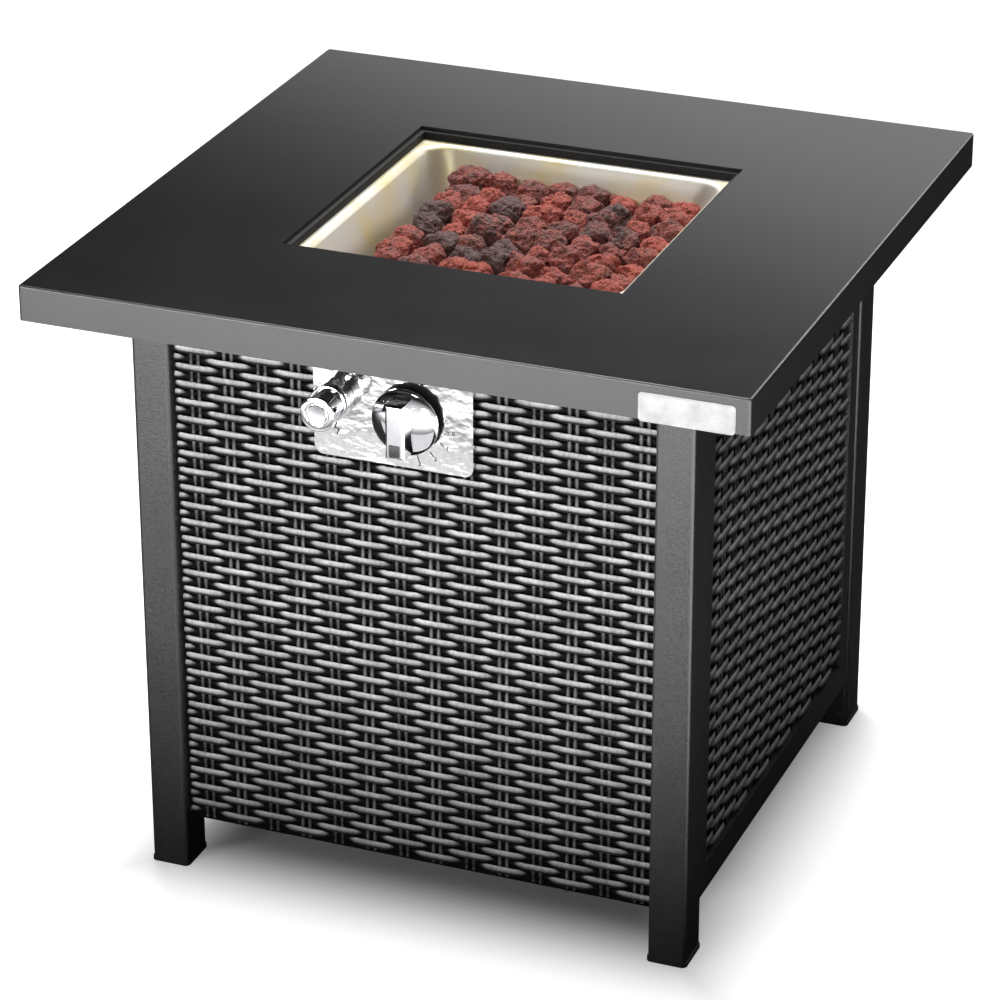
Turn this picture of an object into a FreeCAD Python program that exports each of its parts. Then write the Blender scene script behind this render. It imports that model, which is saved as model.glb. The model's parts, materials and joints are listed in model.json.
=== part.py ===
"""Square gas fire pit table: steel top on four tube legs, wicker panels, fire bowl, gas train and igniter.

Millimetres, +Z up. The origin is on the floor under the middle of the table and the controls face -Y.
"""
import FreeCAD, Part
import math
import os
import random

V = FreeCAD.Vector
UP = V(0, 0, 1)
DOWN = V(0, 0, -1)
FRONT = V(0, -1, 0)
BACK = V(0, 1, 0)

# Table top
TOP_SIZE = 711.0
HEIGHT = 635.0
TOP_SHEET = 1.5
SKIRT_DROP = 35.0
SKIRT_RETURN = 14.0
TOP_CORNER_R = 3.0
TOP_EDGE_R = 1.8
OPENING = 343.0
LEDGE_DROP = 4.0
LEDGE_WIDTH = 5.0
COLLAR_DROP = 8.0
BADGE_SIZE = (90.0, 28.0, 0.8)
BADGE_CORNER_R = 4.0
BADGE_INSET = 13.5
BADGE_LIFT = 8.5

# Legs and feet
OVERHANG = 75.5
LEG_X = 38.0
LEG_Y = 44.0
LEG_WALL = 1.5
LEG_CORNER_R = 4.0
FOOT_PAD = 4.0
FOOT_LIP = 1.2
FOOT_PLUG = 22.0
FOOT_WALL = 2.5

# Panels and their wicker
PANEL_LOW = 50.0
PANEL_SHEET = 1.2
PANEL_FOLD = 24.0
WICKER = 6.5
FRONT_RECESS = 8.6
SIDE_RECESS = 2.5
WICKER_RECESS = 0.5
BORDER_SIDE = 21.0
BORDER_LOW = 30.0
BORDER_HIGH = 40.0
WICKER_GAP = 1.5
STAKE_PITCH = 34.5
ROW_PITCH = 9.0
FRONT_STAKE_X = 21.2
FIRST_ROW_DROP = 106.2
WEAVE_RELIEF = 3.2
WEAVE_MARGIN = 0.5
SWELL_REACH = 23.0
SWELL_FLAT = 9.0
SWELL_TIP = 3.0
SWELL_HALF = 3.3
FRAME_SCREW_INSET = 12.0
FRAME_SCREW_MARGIN = 30.0
TOP_STUD_SPREAD = 150.0

# Rear door
RAIL_HIGH = 37.5
RAIL_LOW = 16.0
DOOR_GAP = 1.5
DOOR_FOLD = 15.0
DOOR_BORDER_HIGH = 14.0
PIVOT_INSET = 13.0
PIVOT_DEPTH = 5.5
PIVOT_R = 3.0
PIVOT_ENTRY = 8.0
PIVOT_HEAD_R = 4.0
PIVOT_HEAD = 2.0
WASHER_R = 4.7
CATCH_SIZE = (18.0, 22.0, 28.0)
CATCH_PLATE = 2.0
CATCH_EAR = 16.0
CATCH_SPREAD = 44.0
MAGNET_SIZE = (10.0, 6.0, 20.0)
STRIKE_HEIGHT = 32.0
PULL_R = 9.0
PULL_EDGE = 1.5
PULL_FOOT = (6.75, 1.5)
PULL_STEM_R = 4.5
PULL_NECK = 8.25
PULL_FLARE = 2.0
PULL_REACH = 15.0

# Base tray
TRAY_SHEET = 1.5
TRAY_RIM = 10.0
TRAY_GAP = 0.5
TRAY_SCREW_SPREAD = 150.0
CYLINDER_RING_R = 112.0
CYLINDER_RING_WALL = 1.5
CYLINDER_RING_HEIGHT = 18.0
VENT_R = 9.0
VENT_CIRCLE_R = 165.0
VENT_COUNT = 8

# Fire bowl
BOWL_SHEET = 1.2
BOWL_LAP = 20.5
BOWL_FLANGE_CORNER_R = 12.0
BOWL_MOUTH_INSET = 9.0
BOWL_TAPER = 27.5
BOWL_DEPTH = 75.0
BOWL_MOUTH_CORNER_R = 28.0
BOWL_FLOOR_CORNER_R = 20.0
BOWL_LIP_R = 4.5
BOWL_STUD_INSET = 10.0
BOWL_STUD_SPREAD = 90.0

# Burner and mixer
RING_R = 72.0
RING_TUBE_R = 8.0
RING_WALL = 1.0
RING_LIFT = 13.0
PORT_R = 1.2
PORT_COUNT = 28
CROSS_TUBE_R = 6.5
HUB_R = 14.0
HUB_NUT = (26.0, 5.0)
HUB_HEIGHT = 21.0
SPIGOT_R = 10.0
SPIGOT_DROP = 8.0
MIXER_R = 8.4
MIXER_WALL = 1.0
MIXER_BEND_R = 14.0
MIXER_ENTRY = 10.0
MIXER_LENGTH = 120.0
AIR_HOLE_R = 3.0
AIR_HOLE_INSET = 12.0
SHUTTER_WALL = 1.2
SHUTTER_LENGTH = 15.0
SHIELD_INSET = 10.0
SHIELD_SHEET = 1.0
SHIELD_RIM = 7.0
SHIELD_STUD_INSET = 25.0
SHIELD_DROP = 34.0
SPACER_R = 6.0

# Controls
CONTROL_CENTRE_X = -15.4
CONTROL_WIDTH = 159.0
CONTROL_HEIGHT = 122.5
CONTROL_DROP = 37.0
CONTROL_CORNER_R = 9.0
CONTROL_SHEET = 1.5
CONTROL_PROUD = 4.6
CONTROL_STUD_INSET = 6.0
WINDOW_SIDE = 9.0
WINDOW_END = 12.5
KNOB_DROP = 110.0
KNOB_R = 33.0
KNOB_RIM = 3.0
KNOB_DOME = 7.5
KNOB_TRAVEL = 3.0
KNOB_SPARE = 3.5
GRIP_WIDTH = 19.0
GRIP_HEIGHT = 54.0
GRIP_REACH = 27.5
GRIP_BEVEL = 2.2
STEM_R = 4.0
STEM_FLAT = 3.0
STEM_IN_KNOB = 22.5
COLLAR_R = 6.0
COLLAR_THICK = 2.0
COLLAR_GAP = 1.0
STEM_HOLE_GAP = 1.0
TANG_R = 3.0
TANG_FLAT = 2.2
TANG_LENGTH = 13.0
SET_SCREW_BACK = 10.0
SET_SCREW_INSET = 1.0
SET_SCREW_SOCKET = 2.0

# Gas valve
VALVE_R = 17.0
VALVE_CAP = 2.5
VALVE_LENGTH = 36.0
VALVE_EAR = (27.0, 8.0, 5.0)
VALVE_SCREW_SPREAD = 20.0
PLUG_R = 9.0
PLUG_LENGTH = 23.0
PLUG_REAR_WALL = 4.0
PLUG_PORT_R = 3.0
PLUG_PORT_BACK = 6.0
SOCKET_DEPTH = 12.0
VALVE_SPRING_R = (4.4, 5.6)
THREAD_R = 6.0
THREAD_LENGTH = 11.0
OUTLET_NECK_R = 8.0
OUTLET_NECK = 6.0
GAS_BORE_R = 2.5
INLET_BOSS_R = 9.0
INLET_BOSS_DROP = 22.0
INLET_FLARE_R = 7.9
INLET_FLARE_LENGTH = 14.0
INLET_HEX = (19.0, 7.0)
INLET_SHANK = 8.0
GAS_TUBE_R = 4.0
GAS_TUBE_WALL = 1.0
FLARE_NUT = (14.0, 14.0)
FLARE_GRIP = 10.0
ORIFICE_HEX = (17.0, 10.0)
ORIFICE_NOSE = 8.0
ORIFICE_BORE_R = 0.8

# Igniter
IGNITER_X = -72.0
IGNITER_DROP = 99.0
BEZEL_R = 18.5
BEZEL_LENGTH = 20.0
BEZEL_FLOOR = 3.0
IGNITER_THREAD_R = 12.0
IGNITER_REAR_WALL = 3.0
BUTTON_R = 15.5
BUTTON_REACH = 25.0
BUTTON_TRAVEL = 5.0
BUTTON_STOP = 1.0
BUTTON_RIM = (17.0, 3.0)
BUTTON_RING = (9.5, 12.0, 0.8)
IGNITER_SPRING_R = (9.0, 11.0)
BATTERY_R = 7.25
BATTERY_LENGTH = 50.5
BATTERY_NUB = (2.9, 1.5)
IGNITER_NUT = (30.0, 5.0)
TERMINAL_SIZE = (6.0, 8.0, 0.8)
TERMINAL_OFFSET = 5.0

# Electrode and thermocouple
PILOT_GAP = 23.0
PILOT_SPREAD = 20.0
BRACKET_HALF = (30.0, 13.0)
BRACKET_SHEET = 1.2
GUARD_HEIGHT = 34.0
GUARD_SHEET = 1.0
GUARD_SLOTS = 5
GUARD_SLOT_WIDTH = 5.0
CERAMIC_R = 3.5
CERAMIC_LENGTH = 26.0
ROD_R = 1.0
ROD_LENGTH = 38.0
TIP_R = 2.25
TIP_LENGTH = 34.0
PILOT_DROP = 8.0
LEAD_R = 1.6
LEAD_START = 24.0
LEAD_BEND = (-50.0, -160.0)
LEAD_RISE = 5.0
LEAD_LAND = (-25.0, -138.0)
LEAD_LIFT = 8.0
LEAD_HOOK = 18.0
CAPILLARY_R = 1.2
CAPILLARY_START = 22.0
CAPILLARY_LAND_Y = -185.0
CAPILLARY_INSET = 4.0

# Fasteners and fits
M5_R = 2.5
M5_HEAD = (4.5, 2.6)
M5_NUT = (8.0, 4.0)
M4_R = 2.0
M4_HEAD = (3.8, 2.2)
M4_NUT = (7.0, 3.2)
SCREW_REACH = 8.0
M5_LENGTH = 10.7
M4_LENGTH = 11.8
THREAD_PAST_NUT = 1.5
RUNNING = 0.05
SEAT_GAP = 0.3
HOLE_GAP = 0.1

# Lava rocks
ROCK_R = (16.0, 21.0)
ROCK_PITCH = 31.5
ROCK_JITTER = 4.5
ROCK_LIFTS = (16.8, 42.8)
ROCK_BARE_LEFT = 40.0
ROCK_FACETS = 18
ROCK_SEED = 28
CORNER_MARGIN = 0.6


def box(x, y, z):
    """Block between a low and a high limit along each axis."""
    low = V(min(x), min(y), min(z))
    high = V(max(x), max(y), max(z))
    size = high - low
    return Part.makeBox(size.x, size.y, size.z, low)


def rod(radius, start, end):
    """Round bar between two points."""
    axis = end - start
    return Part.makeCylinder(radius, axis.Length, start, axis)


def sleeve(outer, inner, start, end):
    """Round tube between two points."""
    return rod(outer, start, end).cut(rod(inner, start, end))


def rounded_wire(half_x, half_y, corner, z):
    """Closed outline of a rectangle with round corners, centred on the Z axis."""
    flat_x, flat_y = half_x - corner, half_y - corner
    bulge = corner * math.sqrt(0.5)
    arcs = []
    for sx, sy in ((1, 1), (-1, 1), (-1, -1), (1, -1)):
        on_x = V(sx * half_x, sy * flat_y, z)
        on_y = V(sx * flat_x, sy * half_y, z)
        middle = V(sx * (flat_x + bulge), sy * (flat_y + bulge), z)
        arcs.append((on_x, middle, on_y) if sx == sy else (on_y, middle, on_x))
    edges = []
    for arc, following in zip(arcs, arcs[1:] + arcs[:1]):
        edges.append(Part.Arc(*arc).toShape())
        edges.append(Part.LineSegment(arc[2], following[0]).toShape())
    return Part.Wire(edges)


def slab(half_x, half_y, corner, low, high):
    """Flat plate with round corners between two heights, centred on the Z axis."""
    return Part.Face(rounded_wire(half_x, half_y, corner, low)).extrude(V(0, 0, high - low))


def prism(across_flats, length):
    """Hexagonal bar along +Z from the origin."""
    reach = across_flats / math.sqrt(3)
    angles = [math.radians(60 * k) for k in range(7)]
    corners = [V(reach * math.cos(angle), reach * math.sin(angle), 0) for angle in angles]
    return Part.Face(Part.makePolygon(corners)).extrude(V(0, 0, length))


def moved(shape, x=0.0, y=0.0, z=0.0):
    """Copy of a shape shifted along the axes."""
    copy = shape.copy()
    copy.translate(V(x, y, z))
    return copy


def turned(shape, degrees):
    """Copy of a shape turned about the table's middle."""
    copy = shape.copy()
    copy.rotate(V(0, 0, 0), UP, degrees)
    return copy


def aimed(shape, point, direction):
    """Copy of a shape drawn along +Z from the origin, put at a point along a direction."""
    copy = shape.copy()
    copy.Placement = FreeCAD.Placement(point, FreeCAD.Rotation(UP, direction))
    return copy


def joined(first, *others):
    """One solid from touching shapes."""
    return first.multiFuse(list(others)).removeSplitter()


def without(shape, *tools):
    """A shape with the tools cut out of it."""
    return shape.cut(list(tools)) if tools else shape


def screw(radius, head, length):
    """Pan-head screw along +Z with a hexagon socket, its head below the origin."""
    head_r, head_height = head
    body = joined(rod(radius, V(0, 0, 0), V(0, 0, length)), rod(head_r, V(0, 0, -head_height), V(0, 0, 0)))
    socket = moved(prism(radius * 1.2, head_height * 0.6), z=-head_height)
    return body.cut(socket)


def nut(size, bore):
    """Hexagon nut along +Z from the origin."""
    across_flats, thickness = size
    return prism(across_flats, thickness).cut(rod(bore, V(0, 0, 0), V(0, 0, thickness)))


def d_bar(radius, flat, length):
    """Round bar along +Z with one flat towards +X."""
    bar = rod(radius, V(0, 0, 0), V(0, 0, length))
    return bar.cut(box((flat, 2 * radius), (-radius, radius), (0, length)))


def bent_bar(radius, points):
    """Round bar on straight runs joined by tangent arcs, each as large as its two runs allow."""
    edges = []
    start = points[0]
    for before, corner, after in zip(points, points[1:], points[2:]):
        into = (corner - before).normalize()
        out = (after - corner).normalize()
        turn = into.getAngle(out)
        cut_back = 0.45 * min(before.distanceToPoint(corner), corner.distanceToPoint(after))
        bend_r = cut_back / math.tan(turn / 2)
        arc_start, arc_end = corner - into * cut_back, corner + out * cut_back
        inwards = (out - into).normalize()
        middle = corner + inwards * (bend_r / math.cos(turn / 2) - bend_r)
        edges.append(Part.LineSegment(start, arc_start).toShape())
        edges.append(Part.Arc(arc_start, middle, arc_end).toShape())
        start = arc_end
    edges.append(Part.LineSegment(start, points[-1]).toShape())
    path = Part.Wire(edges)
    profile = Part.Wire(Part.makeCircle(radius, points[0], points[1] - points[0]))
    bar = path.makePipeShell([profile], True, False)
    expected = math.pi * radius ** 2 * path.Length
    print("bar length", round(path.Length, 1), "volume ratio", round(bar.Volume / expected, 4))
    return bar


def save(node, *solids):
    """Write one node, as one solid or as a group of separate solids."""
    shape = solids[0] if len(solids) == 1 else Part.makeCompound(list(solids))
    assert shape.isValid(), node
    shape.exportStep(os.path.join("parts", node + ".step"))
    print(node, "solids", len(shape.Solids), "volume", round(shape.Volume))
    return shape


# Levels and faces that several pieces share
BODY_SIZE = TOP_SIZE - 2 * OVERHANG
UNDER_TOP = HEIGHT - TOP_SHEET
SKIRT_LOW = HEIGHT - SKIRT_DROP
BOWL_TOP = HEIGHT - LEDGE_DROP - COLLAR_DROP
BOWL_FLANGE = OPENING / 2 + BOWL_LAP
BOWL_STUD_LINE = BOWL_FLANGE - BOWL_STUD_INSET
BOWL_MOUTH = OPENING / 2 - LEDGE_WIDTH - BOWL_MOUTH_INSET
BOWL_FLOOR = BOWL_MOUTH - BOWL_TAPER
SHIELD_HALF = BOWL_FLOOR - SHIELD_INSET
SHIELD_LINE = SHIELD_HALF - SHIELD_STUD_INSET
BOWL_UNDER = BOWL_TOP - BOWL_DEPTH
BOWL_INNER_FLOOR = BOWL_UNDER + BOWL_SHEET
HALF_BODY = BODY_SIZE / 2
FRONT_WIDTH = BODY_SIZE - 2 * LEG_X
SIDE_WIDTH = BODY_SIZE - 2 * LEG_Y
WICKER_FACE = HALF_BODY - FRONT_RECESS
FRONT_FACE = WICKER_FACE - WICKER
SIDE_FACE = HALF_BODY - SIDE_RECESS
CONTROL_FACE = WICKER_FACE + CONTROL_PROUD
CONTROL_BACK = CONTROL_FACE - CONTROL_SHEET
DISH = WICKER + WICKER_RECESS
DOOR_WIDTH = FRONT_WIDTH - 2 * DOOR_GAP
DOOR_LOW = PANEL_LOW + RAIL_LOW + DOOR_GAP
DOOR_TOP = UNDER_TOP - RAIL_HIGH - DOOR_GAP
DOOR_MIDDLE = (DOOR_LOW + DOOR_TOP) / 2
TRAY_LOW = PANEL_LOW + PANEL_SHEET
TRAY_FLOOR = TRAY_LOW + TRAY_SHEET
CONTROL_HIGH = HEIGHT - CONTROL_DROP
CONTROL_LOW = CONTROL_HIGH - CONTROL_HEIGHT
KNOB_Z = HEIGHT - KNOB_DROP
IGNITER_Z = HEIGHT - IGNITER_DROP
PILOT_Y = -RING_R - PILOT_GAP
KNOB = V(0, 0, KNOB_Z)
IGNITER = V(IGNITER_X, 0, IGNITER_Z)
SIDES = {"front": 0, "right": 90, "rear": 180, "left": 270}


def at_depth(axis, distance):
    """Point on a front-to-back axis, at a distance in front of the table's middle."""
    return V(axis.x, -distance, axis.z)


def pressed_panel(width, low, high, face, fold, dish=None):
    """Sheet facing the front with its four edges folded back, and maybe a sunk middle."""
    half = width / 2
    sheet = PANEL_SHEET
    outer = box((-half, half), (-face, fold - face), (low, high))
    inner = box((sheet - half, half - sheet), (sheet - face, fold - face), (low + sheet, high - sheet))
    panel = outer.cut(inner)
    if dish:
        side, bottom, top = dish
        reach = half - side
        floor = low + bottom
        ceiling = high - top
        panel = joined(panel, box((-reach - sheet, reach + sheet), (-face, DISH + sheet - face),
                                  (floor - sheet, ceiling + sheet)))
        panel = panel.cut(box((-reach, reach), (-face, DISH - face), (floor, ceiling)))
    return panel


def loop(points):
    """Closed outline through some points."""
    return Part.makePolygon(points + points[:1])


def swell(x, z, room, ground, crest):
    """Outline and six facets of a strand's swell, shortened where the mat's edge leaves it less room."""
    ends = [min(SWELL_REACH, side - WEAVE_MARGIN) for side in room]
    flats = [min(SWELL_FLAT, end - SWELL_TIP) for end in ends]
    tips = [V(x - ends[0], ground, z), V(x + ends[1], ground, z)]
    lows = [V(x - flats[0], ground, z - SWELL_HALF), V(x + flats[1], ground, z - SWELL_HALF)]
    highs = [V(x - flats[0], ground, z + SWELL_HALF), V(x + flats[1], ground, z + SWELL_HALF)]
    ridge = [V(x - flats[0], crest, z), V(x + flats[1], crest, z)]
    outline = [tips[0], highs[0], highs[1], tips[1], lows[1], lows[0]]
    facets = [[lows[0], lows[1], ridge[1], ridge[0]], [highs[1], highs[0], ridge[0], ridge[1]],
              [tips[0], lows[0], ridge[0]], [highs[0], tips[0], ridge[0]],
              [lows[1], tips[1], ridge[1]], [tips[1], highs[1], ridge[1]]]
    return outline, facets


def lattice(low, high, start, pitch):
    """Numbers and places of evenly spaced lines between two limits."""
    first = math.ceil((low - start) / pitch)
    last = math.floor((high - start) / pitch)
    return [(k, start + k * pitch) for k in range(first, last + 1)]


def woven_slab(corners, spans, first_stake, back):
    """Slab whose front swells wherever a strand crosses a pair of stakes, every second one in each row."""
    front = -back - WICKER
    ground = front + WEAVE_RELIEF
    first_row = HEIGHT - FIRST_ROW_DROP
    edge = SWELL_HALF + WEAVE_MARGIN
    least = SWELL_TIP + 2 * WEAVE_MARGIN
    holes, facets = [], []
    for left, right, low, high in spans:
        for row, z in lattice(low + edge, high - edge, first_row, ROW_PITCH):
            for column, x in lattice(left + least, right - least, first_stake, STAKE_PITCH):
                if (row + column) % 2 == 0:
                    outline, sides = swell(x, z, (x - left, right - x), ground, front)
                    holes.append(loop(outline))
                    facets += sides
    for (x, z), (next_x, next_z) in zip(corners, corners[1:] + corners[:1]):
        facets.append([V(x, -back, z), V(next_x, -back, next_z), V(next_x, ground, next_z), V(x, ground, z)])
    facets.append([V(x, -back, z) for x, z in corners])
    woven_face = Part.Face([loop([V(x, ground, z) for x, z in corners])] + holes)
    shell = Part.makeShell([woven_face] + [Part.Face(loop(facet)) for facet in facets])
    shell.sewShape()
    slab_solid = Part.Solid(shell)
    if slab_solid.Volume < 0:
        slab_solid.reverse()
    return slab_solid


def dish_wicker(width, low, high, face, dish):
    """Woven slab that lies in a panel's sunk middle."""
    side, bottom, top = dish
    reach = width / 2 - side - SEAT_GAP
    sill, head = low + bottom + SEAT_GAP, high - top - SEAT_GAP
    corners = [(-reach, sill), (reach, sill), (reach, head), (-reach, head)]
    return woven_slab(corners, [(-reach, reach, sill, head)], 0, face - DISH)


def edge_seats(width, face, heights, degrees):
    """Where a panel's folds meet the legs: point on the leg's face and the way into the leg."""
    seats = []
    turn = FreeCAD.Rotation(UP, degrees)
    for side in (-1, 1):
        for height in heights:
            point = V(side * width / 2, FRAME_SCREW_INSET - face, height)
            seats.append((turn.multVec(point), turn.multVec(V(side, 0, 0))))
    return seats


def row_seats(spread, face, inset, height, degrees):
    """Two points beside the middle of one side, at a distance behind its face."""
    turn = FreeCAD.Rotation(UP, degrees)
    return [turn.multVec(V(side * spread, inset - face, height)) for side in (-1, 1)]


def face_of(side):
    """Distance from the table's middle to the outer face of one side's sheet."""
    return FRONT_FACE if side == "front" else SIDE_FACE


PANEL_HEIGHTS = [PANEL_LOW + FRAME_SCREW_MARGIN, (PANEL_LOW + UNDER_TOP) / 2, UNDER_TOP - FRAME_SCREW_MARGIN]
RAIL_HEIGHTS = [PANEL_LOW + RAIL_LOW / 2, UNDER_TOP - RAIL_HIGH / 2]
LEG_SEATS = edge_seats(FRONT_WIDTH, FRONT_FACE, PANEL_HEIGHTS, SIDES["front"])
LEG_SEATS += edge_seats(FRONT_WIDTH, SIDE_FACE, RAIL_HEIGHTS, SIDES["rear"])
for name in ("right", "left"):
    LEG_SEATS += edge_seats(SIDE_WIDTH, SIDE_FACE, PANEL_HEIGHTS, SIDES[name])
CATCH_FRONT = SIDE_FACE - DOOR_FOLD - SEAT_GAP
CATCH_CENTRE = V(FRONT_WIDTH / 2, CATCH_FRONT - CATCH_SIZE[1] / 2, DOOR_MIDDLE)
CATCH_SEATS = [(CATCH_CENTRE + UP * side * CATCH_SPREAD / 2, V(1, 0, 0)) for side in (-1, 1)]


def seat_hole(seat, radius, thickness):
    """Round cutter through a fold and a leg's wall at one seat."""
    point, inwards = seat
    return rod(radius, point - inwards * (thickness + 1), point + inwards * (LEG_WALL + 1))


FRAME_HOLES = [seat_hole(seat, M5_R + RUNNING, PANEL_SHEET) for seat in LEG_SEATS]
CATCH_HOLES = [seat_hole(seat, M4_R + RUNNING, CATCH_PLATE) for seat in CATCH_SEATS]
TOP_SEATS = [point for name, angle in SIDES.items()
             for point in row_seats(TOP_STUD_SPREAD, face_of(name), PANEL_FOLD / 2, UNDER_TOP, angle)]
TRAY_SEATS = [point for name, angle in SIDES.items()
              for point in row_seats(TRAY_SCREW_SPREAD, face_of(name), PANEL_FOLD / 2, TRAY_FLOOR, angle)]
BOWL_SEATS = [point for angle in SIDES.values()
              for point in row_seats(BOWL_STUD_SPREAD, BOWL_STUD_LINE, 0, UNDER_TOP, angle)]


def drop_holes(seats, radius):
    """Upright cutters through what lies at the seats' height."""
    reach = V(0, 0, 3 * TOP_SHEET)
    return [rod(radius, seat - reach, seat + reach) for seat in seats]


def near(shape, tools):
    """Those tools whose boxes meet the shape's box."""
    return [tool for tool in tools if tool.BoundBox.intersect(shape.BoundBox)]


FOLD_HOLES = drop_holes(TOP_SEATS, M5_R + HOLE_GAP) + drop_holes(TRAY_SEATS, M5_R + RUNNING) + FRAME_HOLES


def table_top():
    """Pressed top: skirt with a return, lid ledge, collar round the opening and weld studs."""
    half = TOP_SIZE / 2
    shell = slab(half, half, TOP_CORNER_R, SKIRT_LOW, HEIGHT)
    shell = shell.makeFillet(TOP_EDGE_R, [e for e in shell.Edges if e.BoundBox.ZMin > HEIGHT - 0.1])
    inner = half - TOP_SHEET
    hollow = slab(inner, inner, TOP_CORNER_R - TOP_SHEET, SKIRT_LOW, UNDER_TOP)
    lip = slab(inner, inner, TOP_CORNER_R - TOP_SHEET, SKIRT_LOW, SKIRT_LOW + TOP_SHEET)
    lip_hole = inner - SKIRT_RETURN
    lip = lip.cut(slab(lip_hole, lip_hole, TOP_CORNER_R, SKIRT_LOW, SKIRT_LOW + TOP_SHEET))
    edge = OPENING / 2
    ledge = HEIGHT - LEDGE_DROP
    outer = edge + TOP_SHEET
    collar = edge - LEDGE_WIDTH
    rim = box((-outer, outer), (-outer, outer), (ledge - TOP_SHEET, UNDER_TOP))
    reach = collar + TOP_SHEET
    wall = box((-reach, reach), (-reach, reach), (BOWL_TOP, ledge))
    top = joined(shell.cut(hollow), lip, rim, wall)
    top = top.cut([box((-edge, edge), (-edge, edge), (ledge, HEIGHT)),
                   box((-collar, collar), (-collar, collar), (BOWL_TOP, ledge))])
    panel_stud = PANEL_SHEET + M5_NUT[1] + THREAD_PAST_NUT
    bowl_stud = UNDER_TOP - BOWL_TOP + BOWL_SHEET + M5_NUT[1] + THREAD_PAST_NUT
    studs = [rod(M5_R, seat, seat + DOWN * panel_stud) for seat in TOP_SEATS]
    studs += [rod(M5_R, seat, seat + DOWN * bowl_stud) for seat in BOWL_SEATS]
    return joined(top, *studs)


def badge_plate():
    """Bare plate on the right end of the front skirt."""
    width, height, thickness = BADGE_SIZE
    plate = slab(width / 2, height / 2, BADGE_CORNER_R, 0, thickness)
    centre = V(TOP_SIZE / 2 - BADGE_INSET - width / 2, -TOP_SIZE / 2, HEIGHT - BADGE_LIFT - height / 2)
    return aimed(plate, centre, FRONT)


def leg(sx, sy):
    """Rectangular tube at one corner, drilled for the frame's screws."""
    outer = slab(LEG_X / 2, LEG_Y / 2, LEG_CORNER_R, FOOT_PAD, UNDER_TOP)
    inner = slab(LEG_X / 2 - LEG_WALL, LEG_Y / 2 - LEG_WALL, LEG_CORNER_R - LEG_WALL, FOOT_PAD, UNDER_TOP)
    tube = moved(outer.cut(inner), sx * (HALF_BODY - LEG_X / 2), sy * (HALF_BODY - LEG_Y / 2))
    return without(tube, *near(tube, FRAME_HOLES + CATCH_HOLES))


def foot(sx, sy):
    """Moulded foot: a pad a little wider than the tube and a hollow plug inside it."""
    half_x, half_y = LEG_X / 2 + FOOT_LIP, LEG_Y / 2 + FOOT_LIP
    pad = slab(half_x, half_y, LEG_CORNER_R + FOOT_LIP, 0, FOOT_PAD)
    fit = LEG_WALL + HOLE_GAP
    plug = slab(LEG_X / 2 - fit, LEG_Y / 2 - fit, LEG_CORNER_R - LEG_WALL, FOOT_PAD, FOOT_PAD + FOOT_PLUG)
    room = fit + FOOT_WALL
    hollow = slab(LEG_X / 2 - room, LEG_Y / 2 - room, 1.0, FOOT_PAD, FOOT_PAD + FOOT_PLUG)
    return moved(joined(pad, plug.cut(hollow)), sx * (HALF_BODY - LEG_X / 2), sy * (HALF_BODY - LEG_Y / 2))


def control_seats():
    """Corners where the control panel's studs go through the front panel."""
    reach = CONTROL_WIDTH / 2 - WINDOW_END
    low, high = CONTROL_LOW + CONTROL_STUD_INSET, CONTROL_HIGH - CONTROL_STUD_INSET
    return [V(CONTROL_CENTRE_X + side * reach, 0, height) for side in (-1, 1) for height in (low, high)]


def front_panel():
    """Flat steel panel behind the front wicker, with a window for the controls."""
    panel = pressed_panel(FRONT_WIDTH, PANEL_LOW, UNDER_TOP, FRONT_FACE, PANEL_FOLD)
    reach = CONTROL_WIDTH / 2 - WINDOW_SIDE
    window = box((CONTROL_CENTRE_X - reach, CONTROL_CENTRE_X + reach),
                 (-FRONT_FACE, PANEL_SHEET - FRONT_FACE),
                 (CONTROL_LOW + WINDOW_END, CONTROL_HIGH - WINDOW_END))
    holes = [rod(M4_R + HOLE_GAP, at_depth(seat, FRONT_FACE), at_depth(seat, FRONT_FACE - PANEL_SHEET))
             for seat in control_seats()]
    return without(panel, window, *holes, *near(panel, FOLD_HOLES))


def front_wicker():
    """Woven slab over the whole front panel, cut out round the control panel."""
    reach = FRONT_WIDTH / 2 - WICKER_GAP
    low, high = PANEL_LOW + WICKER_GAP, UNDER_TOP - WICKER_GAP
    half = CONTROL_WIDTH / 2 + SEAT_GAP
    left, right = CONTROL_CENTRE_X - half, CONTROL_CENTRE_X + half
    sill = CONTROL_LOW - SEAT_GAP
    corners = [(-reach, low), (reach, low), (reach, high), (right, high), (right, sill), (left, sill),
               (left, high), (-reach, high)]
    beside = sill - ROW_PITCH / 2
    spans = [(-reach, reach, low, sill), (-reach, left, beside, high), (right, reach, beside, high)]
    return woven_slab(corners, spans, FRONT_STAKE_X, FRONT_FACE)


SIDE_DISH = (BORDER_SIDE, BORDER_LOW, BORDER_HIGH)
DOOR_DISH = (BORDER_SIDE, BORDER_LOW, DOOR_BORDER_HIGH)


def side_panel(name):
    """Steel side panel with a sunk middle for its wicker."""
    panel = pressed_panel(SIDE_WIDTH, PANEL_LOW, UNDER_TOP, SIDE_FACE, PANEL_FOLD, SIDE_DISH)
    panel = turned(panel, SIDES[name])
    return without(panel, *near(panel, FOLD_HOLES))


def side_wicker(name):
    """Woven slab in a side panel's sunk middle."""
    return turned(dish_wicker(SIDE_WIDTH, PANEL_LOW, UNDER_TOP, SIDE_FACE, SIDE_DISH), SIDES[name])


PIVOT = V(PIVOT_INSET - DOOR_WIDTH / 2, SIDE_FACE - PIVOT_DEPTH, 0)


def at_height(point, height):
    """The same place in plan at another height."""
    return V(point.x, point.y, height)


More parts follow.
